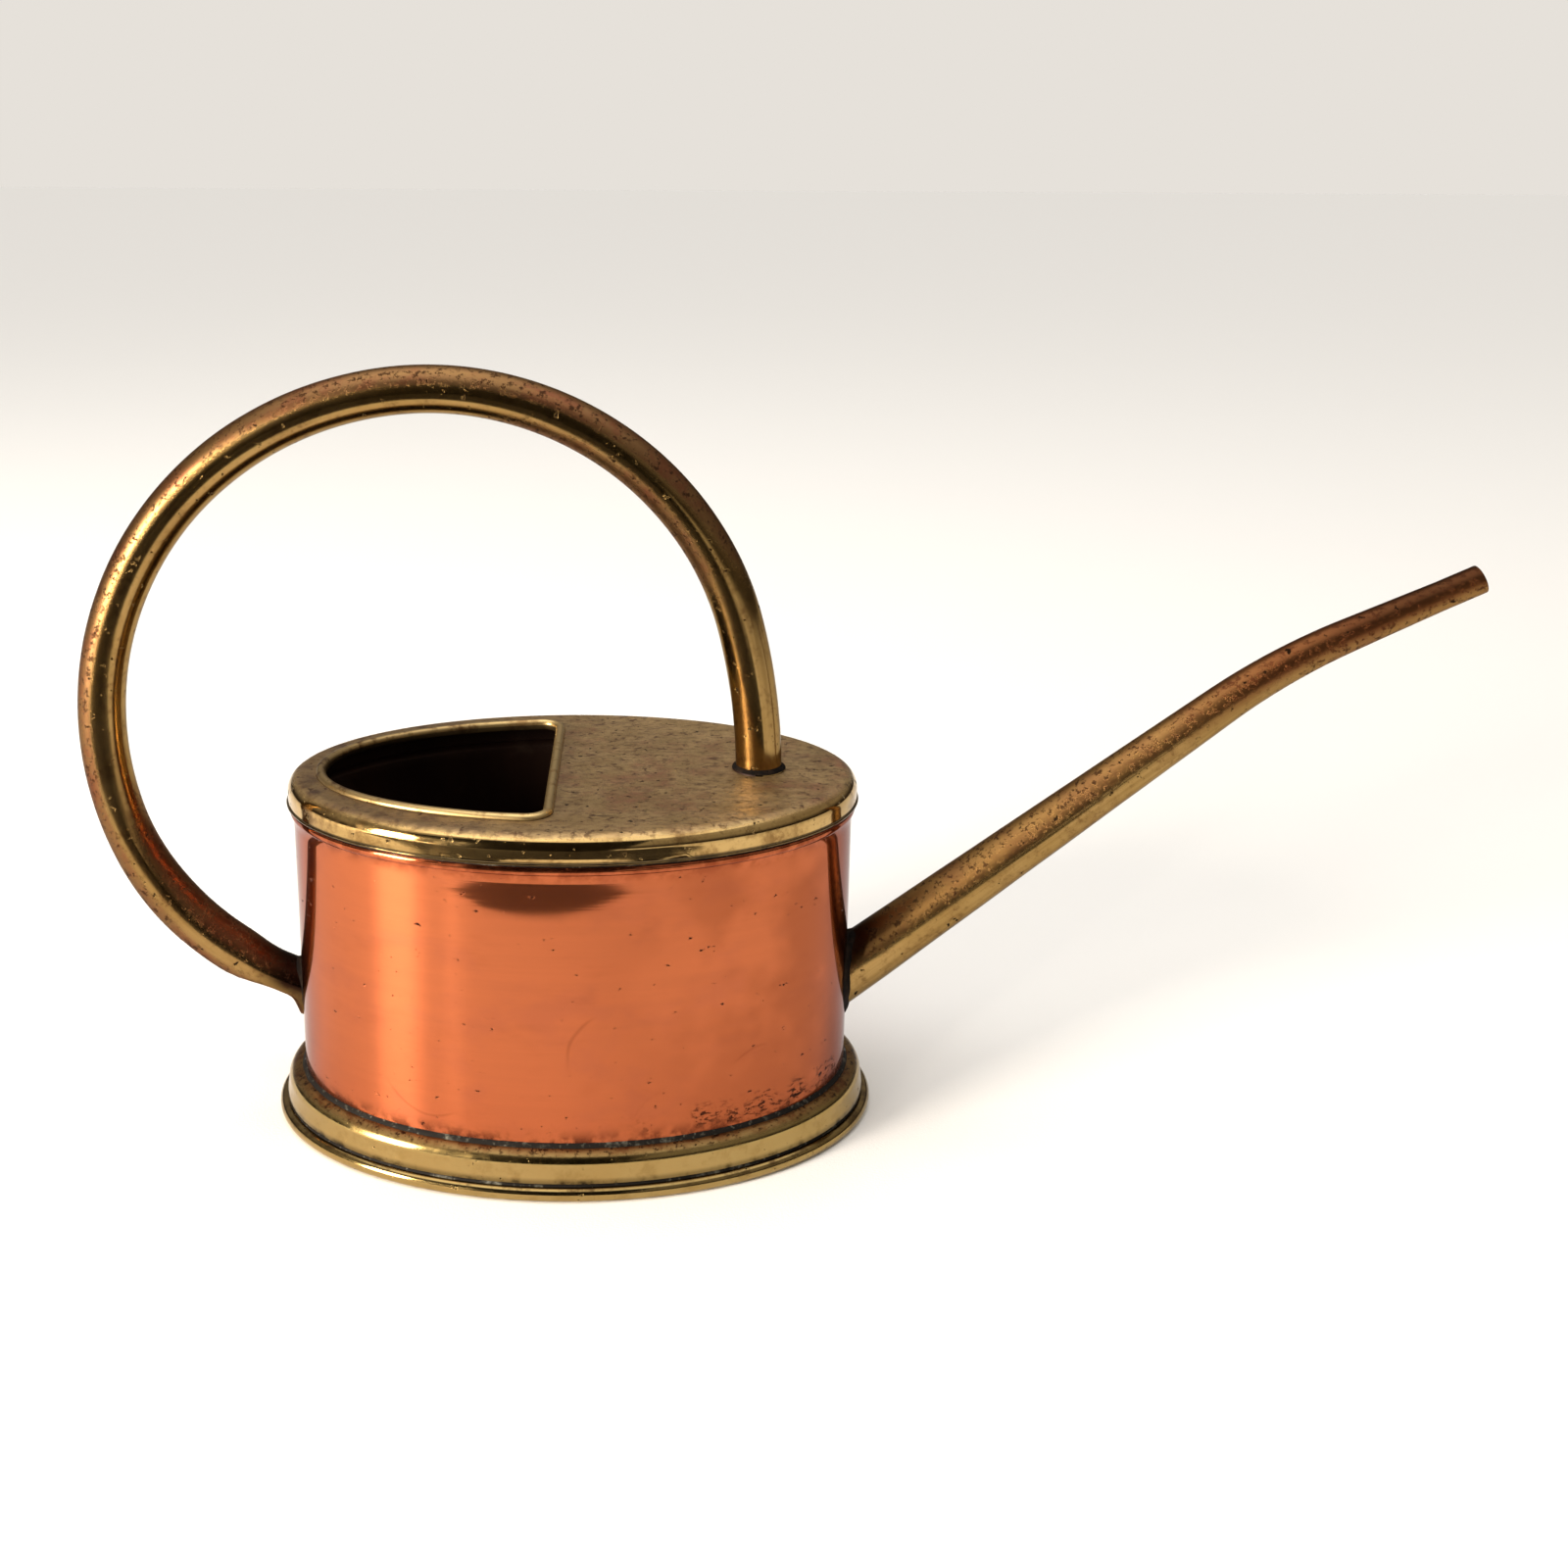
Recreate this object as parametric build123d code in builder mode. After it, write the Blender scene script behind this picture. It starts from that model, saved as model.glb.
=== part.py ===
"""Indoor watering can: oval copper body, brass cover, base, hoop handle and long tapered spout.

The origin is on the ground under the middle of the oval body. +X runs to the spout, +Z is up.
"""

from build123d import *
import os
from math import cos, radians, sin

# ---- oval body, all lengths in mm -------------------------------------------------------------
body_half_length = 85.0     # outside of the copper, along X
body_half_width = 57.0      # outside of the copper, along Y
side_share = 0.82           # mouldings stand out less at the long sides than at the ends
copper = 0.8                # copper sheet
brass = 1.0                 # brass sheet
base_brass = 1.2            # heavier brass of the base

# ---- heights ----------------------------------------------------------------------------------
plate_bottom = 1.4          # underside of the bottom plate's panel
wall_bottom = plate_bottom + base_brass
flange_top = 4.2            # top of the plate's rolled edge
edge_round = 0.45 * flange_top
band_bottom = 5.0
band_top = 14.2             # where the base shoulder meets the copper
bead_bottom = 97.4          # swaged bead in the copper, just under the cover
bead_top = 100.2
skirt_bottom = 100.7
cover_top = 109.2
wall_top = 105.0            # the copper runs up inside the cover's skirt

# ---- how far each moulding stands out of the copper -------------------------------------------
flange_out = 8.5
flange_width = 4.4          # of the rolled edge
band_out = 6.2              # at the foot of the band
shoulder_out = 5.4          # at the top of the band
bead_out = 1.1
bead_round = 0.9
cover_out = 1.5
skirt_lip = 0.9             # height of the lip at the skirt's edge
skirt_lip_out = 0.5
shoulder_round = 4.2        # rounded shoulder of the base
cover_round = 4.6           # rounded shoulder of the cover

# ---- D-shaped filling opening, measured to the middle of its rounded edge ----------------------
opening_half_length = 76.5
opening_half_width = 44.6
opening_straight_x = -5.7
opening_corner = 6.0
rim_width = 3.0
rim_above = 1.7
rim_below = 0.4

# ---- hoop handle: a tube bent in four arcs, from the cover round to the body's end -------------
handle_radius = 7.0
handle_wall = 1.0
handle_x = 56.5
handle_lean = 90.5          # degrees from +X at the cover
handle_clearance = 0.15     # between the tube and its hole
collar_width = 1.1          # raised edge of that hole
collar_height = 0.7
handle_bottom = 102.0       # end of the tube under the cover
handle_straight = 6.0       # short upright run before the first bend
handle_bends = ((188.0, 14.2), (94.2, 82.75), (102.2, 97.8), (81.8, 52.2))
handle_tail = 14.0          # last straight run, cut to the copper
lip_bottom = 27.6           # tongue turned down from the tube's end, against the copper
lip_height = 7.0
lip_width = 9.0
lip_brass = 1.3

# ---- spout: a tapered tube, straight, then bent down a little ----------------------------------
spout_height = 42.7         # of its axis, at the end of the body
spout_angle = 37.8
spout_run = 141.2           # first straight run
spout_bend_radius = 186.0
spout_end_angle = 24.7
spout_root_radius = 9.3
spout_taper = 0.0229        # radius lost for each mm of length
spout_wall = 0.8
spout_tip_run = 30.2        # straight run after the bend, before the plain tip
spout_tip_length = 12.0     # plain cylindrical tip
bend_sections = 5
spout_inside = 12.0         # how far its shape is carried in, before it is cut to the copper
outlet_radius = 7.0         # hole in the copper behind the spout

# ---- solder -----------------------------------------------------------------------------------
seam_solder = 1.2           # height and width of the bead where the base meets the copper
groove_solder = (4.4, 5.9)  # from and to, measured out from the copper, in the base's groove
cover_solder_out = 1.0
ring_solder = 1.1
foot_solder_round = 2.0     # fillets where the handle's end and the spout meet the copper

os.makedirs("parts", exist_ok=True)


def oval(grow, inset=0.0):
    """The body's oval, grown like a moulding and then reduced evenly by a sheet's thickness.

    It is drawn as two halves that meet at the long sides, clear of the handle and the spout.
    """
    length = body_half_length + grow - inset
    width = body_half_width + side_share * grow - inset
    with BuildSketch() as outline:
        with BuildLine():
            EllipticalCenterArc((0, 0), length, width, 90, arc_size=180)
            EllipticalCenterArc((0, 0), length, width, 270, arc_size=180)
        make_face()
    return outline.sketch


def opening_slab(low, high, grow):
    """An upright D, grown evenly from the middle line of the opening's rounded edge."""
    length = opening_half_length + grow
    with BuildPart() as slab:
        with BuildSketch(Plane.XY.offset(low)) as outline:
            Ellipse(length, opening_half_width + grow)
            with Locations((opening_straight_x + grow, 0)):
                Rectangle(2 * length, 2 * length, align=(Align.MAX, Align.CENTER), mode=Mode.INTERSECT)
            fillet(outline.vertices().group_by(Axis.X)[-1], radius=opening_corner + grow)
        extrude(amount=high - low)
    return slab.part


def oval_slab(low, high, grow, inset=0.0, rounding=0.0):
    """An upright slice of the oval between two heights, with a rounded top edge if asked."""
    with BuildPart() as slab:
        with BuildSketch(Plane.XY.offset(low)):
            add(oval(grow, inset))
        extrude(amount=high - low)
        if rounding:
            fillet(slab.edges().group_by(Axis.Z)[-1], radius=rounding)
    return slab.part


def shoulder_slab(inset):
    """The base's band and rounded shoulder as a solid, or its inside when inset by the sheet."""
    with BuildPart() as slab:
        with BuildSketch(Plane.XY.offset(band_bottom)):
            add(oval(band_out, inset))
        with BuildSketch(Plane.XY.offset(band_top - inset)):
            add(oval(shoulder_out, inset))
        loft(ruled=True)
        fillet(slab.edges().group_by(Axis.Z)[-1], radius=shoulder_round - inset)
    return slab.part


# ---- copper wall ------------------------------------------------------------------------------
outlet_plane = Plane(
    origin=(body_half_length, 0, spout_height),
    z_dir=(cos(radians(spout_angle)), 0, sin(radians(spout_angle))),
)

with BuildPart() as body_wall:
    add(oval_slab(bead_bottom, bead_top, bead_out))
    fillet(body_wall.edges().filter_by(GeomType.ELLIPSE), radius=bead_round)
    add(oval_slab(wall_bottom, wall_top, 0))
    add(oval_slab(wall_bottom, wall_top, 0, copper), mode=Mode.SUBTRACT)
    add(oval_slab(bead_bottom + copper, bead_top - copper, bead_out, copper), mode=Mode.SUBTRACT)
    with BuildSketch(outlet_plane):
        Circle(outlet_radius)
    extrude(amount=2 * outlet_radius, both=True, mode=Mode.SUBTRACT)

# ---- brass cover ------------------------------------------------------------------------------
ceiling = cover_top - brass

with BuildPart() as top_cover:
    add(oval_slab(skirt_bottom, cover_top, cover_out, rounding=cover_round))
    add(oval_slab(skirt_bottom, skirt_bottom + skirt_lip, cover_out + skirt_lip_out))
    add(oval_slab(skirt_bottom, ceiling, cover_out, brass, cover_round - brass), mode=Mode.SUBTRACT)
    add(opening_slab(ceiling - brass, cover_top + brass, rim_width / 2), mode=Mode.SUBTRACT)
    with BuildSketch(Plane.XY.offset(cover_top)):
        with Locations((handle_x, 0)):
            Circle(handle_radius + collar_width)
    extrude(amount=collar_height)
    fillet(top_cover.edges().group_by(Axis.Z)[-1], radius=collar_height / 2)
    with BuildSketch(Plane.XY.offset(ceiling - brass)):
        with Locations((handle_x, 0)):
            Circle(handle_radius + handle_clearance)
    extrude(amount=4 * brass, mode=Mode.SUBTRACT)

# ---- rounded edge of the opening --------------------------------------------------------------
with BuildPart() as opening_rim:
    add(opening_slab(ceiling - rim_below, cover_top + rim_above, rim_width / 2))
    add(opening_slab(ceiling - rim_below, cover_top + rim_above, -rim_width / 2), mode=Mode.SUBTRACT)
    fillet(opening_rim.edges().group_by(Axis.Z)[-1], radius=0.45 * rim_width)

# ---- base: shoulder and band, then the bottom plate with its rolled edge -----------------------
with BuildPart() as base_band:
    add(shoulder_slab(0))
    add(shoulder_slab(base_brass), mode=Mode.SUBTRACT)
    add(oval_slab(band_bottom, band_top, 0), mode=Mode.SUBTRACT)

with BuildPart() as base_plate:
    add(oval_slab(0, flange_top, flange_out))
    fillet(base_plate.edges().filter_by(GeomType.ELLIPSE), radius=edge_round)
    add(oval_slab(0, plate_bottom, flange_out, flange_width), mode=Mode.SUBTRACT)
    add(oval_slab(wall_bottom, flange_top, flange_out, flange_width), mode=Mode.SUBTRACT)

# ---- hoop handle ------------------------------------------------------------------------------
with BuildLine(Plane.XZ) as handle_route:
    run = PolarLine((handle_x, handle_bottom), handle_straight, handle_lean)
    for radius, turn in handle_bends:
        run = JernArc(run @ 1, run % 1, radius, turn)
    Line(run @ 1, run @ 1 + (run % 1) * handle_tail)

body_core = oval_slab(0, bead_bottom, 0)


def handle_solid(radius):
    """The hoop as a solid rod of the given radius."""
    with BuildPart() as rod:
        with BuildSketch(Plane(origin=handle_route.line @ 0, z_dir=handle_route.line % 0)):
            Circle(radius)
        sweep(path=handle_route.line)
    return rod.part


with BuildPart() as handle_tube:
    add(handle_solid(handle_radius))
    with BuildSketch(Plane.YZ.offset(-body_half_length - lip_brass)):
        with Locations((0, lip_bottom + lip_height / 2)):
            RectangleRounded(lip_width, lip_height, lip_width / 4)
    extrude(amount=2 * lip_brass)
    add(handle_solid(handle_radius - handle_wall), mode=Mode.SUBTRACT)
    add(body_core, mode=Mode.SUBTRACT)

# ---- spout ------------------------------------------------------------------------------------
with BuildLine(Plane.XZ) as spout_route:
    root = PolarLine((body_half_length, spout_height), spout_run, spout_angle)
    bend = JernArc(root @ 1, root % 1, spout_bend_radius, spout_end_angle - spout_angle)
    neck = Line(bend @ 1, bend @ 1 + (bend % 1) * spout_tip_run)

bend_end = spout_run + bend.length
neck_end = bend_end + spout_tip_run


def spout_radius(along):
    """Outer radius at a distance along the spout's axis from the end of the body."""
    return spout_root_radius - spout_taper * along


def spout_solid(inset):
    """The spout's outer shape, or its bore when the sheet's thickness is taken off."""
    with BuildPart() as solid:
        for point, along in ((root @ 0 - (root % 0) * spout_inside, -spout_inside), (root @ 1, spout_run)):
            with BuildSketch(Plane(origin=point, z_dir=root % 0)):
                Circle(spout_radius(along) - inset)
        loft(ruled=True)
        for step in range(bend_sections):
            share = step / (bend_sections - 1)
            with BuildSketch(Plane(origin=bend @ share, z_dir=bend % share)):
                Circle(spout_radius(spout_run + share * bend.length) - inset)
        loft()
        for point, along in ((neck @ 0, bend_end), (neck @ 1, neck_end)):
            with BuildSketch(Plane(origin=point, z_dir=neck % 0)):
                Circle(spout_radius(along) - inset)
        loft(ruled=True)
        with BuildSketch(Plane(origin=neck @ 1, z_dir=neck % 1)):
            Circle(spout_radius(neck_end) - inset)
        extrude(amount=spout_tip_length)
    return solid.part


with BuildPart() as spout_tube:
    add(spout_solid(0))
    add(spout_solid(spout_wall), mode=Mode.SUBTRACT)
    add(body_core, mode=Mode.SUBTRACT)

# ---- solder -----------------------------------------------------------------------------------
with BuildPart() as base_solder:
    with BuildSketch(Plane.XY.offset(band_top)):
        add(oval(seam_solder))
    with BuildSketch(Plane.XY.offset(band_top + seam_solder)):
        add(oval(0.1 * seam_solder))
    loft(ruled=True)
    add(body_core, mode=Mode.SUBTRACT)

with BuildPart() as plate_solder:
    add(oval_slab(flange_top, band_bottom, groove_solder[1]))
    add(oval_slab(flange_top, band_bottom, groove_solder[0]), mode=Mode.SUBTRACT)

with BuildPart() as cover_solder:
    add(oval_slab(bead_top, skirt_bottom, cover_solder_out))
    add(oval_slab(bead_top, skirt_bottom, 0), mode=Mode.SUBTRACT)

with BuildPart() as handle_top_solder:
    with BuildSketch(Plane.XY.offset(cover_top + collar_height)):
        with Locations((handle_x, 0)):
            Circle(handle_radius + ring_solder)
    with BuildSketch(Plane.XY.offset(cover_top + collar_height + ring_solder)):
        with Locations((handle_x, 0)):
            Circle(handle_radius + 0.1 * ring_solder)
    loft(ruled=True)
    add(handle_solid(handle_radius), mode=Mode.SUBTRACT)


def fillet_against_wall(rod, seam_turn):
    """Solder run in round a rod where it meets the copper. The oval's seam is turned away from it."""
    with BuildPart() as joint:
        with BuildSketch():
            Ellipse(body_half_length, body_half_width, rotation=seam_turn)
        block = extrude(amount=bead_bottom)
        add(rod)
        fillet(joint.edges().filter_by(GeomType.BSPLINE), radius=foot_solder_round)
        add(block, mode=Mode.SUBTRACT)
        add(rod, mode=Mode.SUBTRACT)
    return joint.part


with BuildPart() as spout_solder:
    add(fillet_against_wall(spout_solid(0), 180))

with BuildPart() as handle_foot_solder:
    add(fillet_against_wall(handle_solid(handle_radius), 0))
    with Locations((-body_half_length, 0, lip_bottom)):
        Box(
            2 * lip_brass,
            lip_width,
            lip_height,
            align=(Align.CENTER, Align.CENTER, Align.MIN),
            mode=Mode.SUBTRACT,
        )

# ---- output -----------------------------------------------------------------------------------
pieces = {
    "body_wall": body_wall,
    "top_cover": top_cover,
    "opening_rim": opening_rim,
    "base_band": base_band,
    "base_plate": base_plate,
    "handle_tube": handle_tube,
    "spout_tube": spout_tube,
    "cover_solder": cover_solder,
    "base_solder": base_solder,
    "plate_solder": plate_solder,
    "handle_top_solder": handle_top_solder,
    "handle_foot_solder": handle_foot_solder,
    "spout_solder": spout_solder,
}

for name, piece in pieces.items():
    piece.part.label = name
    export_step(piece.part, f"parts/{name}.step")
    print(name, round(piece.part.volume), "mm3,", len(piece.part.solids()), "solid")
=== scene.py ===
"""Detailed copper and brass watering can, built in metres around its CAD frame.

Laid out as an add-on and run as a script: each piece or group of like pieces has its operator.
"""

from math import atan2, cos, hypot, pi, radians, sin, sqrt

import bmesh
import bpy
from bpy.props import FloatProperty, FloatVectorProperty, PointerProperty
from mathutils import Matrix, Vector, geometry, noise


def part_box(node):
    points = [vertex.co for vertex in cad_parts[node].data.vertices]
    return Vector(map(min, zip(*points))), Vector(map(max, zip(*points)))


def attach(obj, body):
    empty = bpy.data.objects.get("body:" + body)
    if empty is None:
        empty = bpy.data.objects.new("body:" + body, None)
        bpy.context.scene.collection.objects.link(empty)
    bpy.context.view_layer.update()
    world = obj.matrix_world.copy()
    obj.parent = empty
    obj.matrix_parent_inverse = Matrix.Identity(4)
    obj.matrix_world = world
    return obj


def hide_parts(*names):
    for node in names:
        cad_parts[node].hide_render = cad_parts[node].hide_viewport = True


bl_info = {
    "name": "Copper Watering Can",
    "version": (1, 0, 0),
    "blender": (4, 5, 0),
    "location": "3D View > Sidebar > Watering Can",
    "description": "Builds an oval copper watering can with a hoop handle and a long spout",
    "category": "Add Mesh",
}

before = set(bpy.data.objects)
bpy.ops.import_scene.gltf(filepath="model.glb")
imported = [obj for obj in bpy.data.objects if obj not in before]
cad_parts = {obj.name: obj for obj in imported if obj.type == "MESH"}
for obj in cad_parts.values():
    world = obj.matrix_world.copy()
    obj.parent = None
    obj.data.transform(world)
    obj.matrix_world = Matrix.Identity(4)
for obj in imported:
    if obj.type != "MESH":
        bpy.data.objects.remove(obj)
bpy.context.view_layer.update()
MM = 0.001

# ---- sizes read from the frame -----------------------------------------------------------------
SIDE_SHARE = 0.82               # mouldings stand out less at the long sides than at the ends
BEAD_OUT = 1.1 * MM
BAND_OUT = 6.2 * MM
COVER_OUT = 1.5 * MM
FLANGE_OUT = 8.5 * MM

wall_low, wall_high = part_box("body_wall")
cover_low, cover_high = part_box("top_cover")
rim_low, rim_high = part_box("opening_rim")
band_low, band_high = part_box("base_band")
plate_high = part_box("base_plate")[1]
groove_low, groove_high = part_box("plate_solder")
ledge_low, ledge_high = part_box("base_solder")
seam_low, seam_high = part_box("cover_solder")
ring_low, ring_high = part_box("handle_top_solder")

BODY_LENGTH = wall_high.x - BEAD_OUT
BODY_WIDTH = wall_high.y - SIDE_SHARE * BEAD_OUT
AROUND = 224                    # points round the oval


# ---- small geometry helpers --------------------------------------------------------------------
def smooth(low, high, value):
    """0 below low, 1 above high and an S curve between."""
    share = min(max((value - low) / (high - low), 0.0), 1.0)
    return share * share * (3.0 - 2.0 * share)


def wavy(point, wavelength, seed=0.0):
    """Smooth unevenness, about -1 to 1, with humps about a wavelength apart."""
    return noise.noise(point / wavelength + Vector((seed, seed, seed)))


def swing(point, *waves):
    """Several sizes of unevenness added up. A wave is (wavelength, share, seed)."""
    return sum(share * wavy(point, wavelength, seed) for wavelength, share, seed in waves)


def oval_point(angle, grow, inset, height):
    """A point round the body's oval, grown like a moulding and reduced by a sheet's thickness."""
    return Vector(
        (
            (BODY_LENGTH + grow - inset) * cos(angle),
            (BODY_WIDTH + SIDE_SHARE * grow - inset) * sin(angle),
            height,
        )
    )


def oval_outward(angle):
    """Unit vector out of the oval at that angle."""
    return Vector((cos(angle) / BODY_LENGTH, sin(angle) / BODY_WIDTH, 0)).normalized()


def oval_rings(profile):
    """One ring of points for each (grow, inset, height) of a profile."""
    angles = [2 * pi * i / AROUND for i in range(AROUND)]
    return [[oval_point(a, *place) for a in angles] for place in profile]


def arc_profile(grow, inset, height, reach, rise, start, end, steps):
    """Profile points on a round edge. The angle 0 points out of the body and 90 points up."""
    places = []
    for i in range(steps + 1):
        turn = radians(start + (end - start) * i / steps)
        places.append((grow, inset + reach * (1 - cos(turn)), height + rise * sin(turn)))
    return places


def skin(mesh_name, rings, closed_profile=True):
    """A mesh of quads over rings of points, with UVs in metres round and along the rings."""
    count = len(rings[0])
    spans = len(rings) if closed_profile else len(rings) - 1
    around = [0.0]
    for i in range(count):
        around.append(around[-1] + (rings[0][i] - rings[0][(i + 1) % count]).length)
    along = [0.0]
    for row in range(spans):
        along.append(along[-1] + (rings[row][0] - rings[(row + 1) % len(rings)][0]).length)
    faces = []
    uvs = []
    for row in range(spans):
        upper = (row + 1) % len(rings)
        for i in range(count):
            j = (i + 1) % count
            faces.append((row * count + i, row * count + j, upper * count + j, upper * count + i))
            for u, v in ((i, row), (i + 1, row), (i + 1, row + 1), (i, row + 1)):
                uvs += (around[u], along[v])
    mesh = bpy.data.meshes.new(mesh_name)
    mesh.from_pydata([point for ring in rings for point in ring], [], faces)
    mesh.uv_layers.new(name="metres").data.foreach_set("uv", uvs)
    return mesh


def fill_ends(mesh, count):
    """Closes the first and the last ring of an open skin with a flat face each."""
    last = len(mesh.vertices) - count
    sheet = bmesh.new()
    sheet.from_mesh(mesh)
    sheet.verts.ensure_lookup_table()
    sheet.faces.new([sheet.verts[i] for i in range(count)])
    sheet.faces.new([sheet.verts[last + i] for i in range(count)])
    sheet.to_mesh(mesh)
    sheet.free()


def join_meshes(mesh_name, meshes):
    """One mesh of several, welded where their edges meet."""
    joined = bmesh.new()
    for mesh in meshes:
        joined.from_mesh(mesh)
        bpy.data.meshes.remove(mesh)
    bmesh.ops.remove_doubles(joined, verts=joined.verts, dist=0.002 * MM)
    mesh = bpy.data.meshes.new(mesh_name)
    joined.to_mesh(mesh)
    joined.free()
    return mesh


def place_piece(name, mesh, nodes, finishes, choose=None, sharp=40):
    """Links a finished mesh as a piece that rides on the can and stands for its CAD nodes.

    choose(centre, normal) gives the index of the finish for a face.
    """
    for finish in finishes:
        mesh.materials.append(finish)
    shell = bmesh.new()
    shell.from_mesh(mesh)
    bmesh.ops.recalc_face_normals(shell, faces=shell.faces)
    for face in shell.faces:
        face.smooth = True
        if choose:
            face.material_index = choose(face.calc_center_median(), face.normal)
    shell.to_mesh(mesh)
    shell.free()
    mesh.set_sharp_from_angle(angle=radians(sharp))
    piece = bpy.data.objects.new(name, mesh)
    bpy.context.scene.collection.objects.link(piece)
    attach(piece, "root")
    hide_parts(*nodes)
    return piece


# ---- materials ---------------------------------------------------------------------------------
def colour(code):
    """Linear RGBA of an sRGB hex value."""
    channels = [int(code[i : i + 2], 16) / 255 for i in (1, 3, 5)]
    linear = [c / 12.92 if c <= 0.04045 else ((c + 0.055) / 1.055) ** 2.4 for c in channels]
    return (*linear, 1.0)


def hex_of(swatch_colour):
    """The sRGB hex value of a colour property."""
    return "#" + "".join(f"{round(c * 255):02X}" for c in swatch_colour)


def node(tree, kind, inputs=None, **settings):
    """Adds a node with its settings, and sets or links its inputs. Returns its first live output."""
    made = tree.nodes.new(kind)
    for key, value in settings.items():
        setattr(made, key, value)
    for key, value in (inputs or {}).items():
        if isinstance(value, bpy.types.NodeSocket):
            tree.links.new(value, made.inputs[key])
        else:
            made.inputs[key].default_value = value
    return next((out for out in made.outputs if out.enabled), None)


def new_finish(name):
    """An empty node material and its tree."""
    finish = bpy.data.materials.new(name)
    finish.use_nodes = True
    finish.node_tree.nodes.clear()
    return finish, finish.node_tree


def product(tree, *masks):
    """Several masks multiplied: where all of them hold."""
    result = masks[0]
    for mask in masks[1:]:
        result = node(tree, "ShaderNodeMath", {0: result, 1: mask}, operation="MULTIPLY")
    return result


def zone(tree, *limits):
    """A mask with soft edges. A limit (value, low, high) is 0 under low and 1 over high.

    Low may be the larger. Several limits are multiplied.
    """
    masks = []
    for value, low, high in limits:
        inputs = {"Value": value, "From Min": low, "From Max": high}
        masks.append(node(tree, "ShaderNodeMapRange", inputs, interpolation_type="SMOOTHSTEP"))
    return product(tree, *masks)


def patches(tree, place, size, low, high, detail=5.0, roughness=0.55, stretch=None):
    """Irregular patches of about a size in metres: 0 where the noise is under low, 1 over high.

    The stretch divides that size along x, y and z, so 0.1 makes patches ten times longer.
    """
    if stretch:
        place = node(tree, "ShaderNodeMapping", {"Vector": place, "Scale": stretch})
    inputs = {"Vector": place, "Scale": 1.0 / size, "Detail": detail, "Roughness": roughness}
    return zone(tree, (node(tree, "ShaderNodeTexNoise", inputs), low, high))


def overlaid(tree, base, layers):
    """A colour or a number with others laid over it. A layer is its masks and then its top."""
    is_number = isinstance(layers[0][-1], (int, float))
    kind, under, over = ("FLOAT", 2, 3) if is_number else ("RGBA", 6, 7)
    for *masks, top in layers:
        inputs = {0: product(tree, *masks), under: base, over: top}
        base = node(tree, "ShaderNodeMix", inputs, data_type=kind)
    return base


def relief(tree, layers):
    """A normal from layers, one over the other. A layer is its masks and then its height in metres.

    A -1.0 among the masks makes the layer sink.
    """
    normal = None
    for *masks, height in layers:
        inputs = {"Height": product(tree, *masks), "Distance": height, "Strength": 1.0}
        if normal:
            inputs["Normal"] = normal
        normal = node(tree, "ShaderNodeBump", inputs)
    return normal


def shade(tree, base, roughness, normal, metallic=1.0, constants=None):
    """Gives the material one surface shader, with its constants straight on the shader's sockets."""
    looks = {"Base Color": base, "Roughness": roughness, "Metallic": metallic, **(constants or {})}
    if normal:
        looks["Normal"] = normal
    node(tree, "ShaderNodeOutputMaterial", {"Surface": node(tree, "ShaderNodeBsdfPrincipled", looks)})


def places(tree):
    """Object coordinates in metres, the same split into x, y and z, and the facing split likewise."""
    where = tree.nodes.new("ShaderNodeTexCoord").outputs["Object"]
    shape = tree.nodes.new("ShaderNodeNewGeometry")
    split = []
    for value in (where, shape.outputs["Normal"]):
        split.append(tree.nodes.new("ShaderNodeSeparateXYZ"))
        tree.links.new(value, split[-1].inputs[0])
    return where, split[0].outputs, split[1].outputs


SCRATCH_SPREAD = 0.31           # roughness of the buffing lines, which spread light up and down
SCRATCH_SHARE = 0.24            # how much of the light they take from the mirror polish


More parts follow.
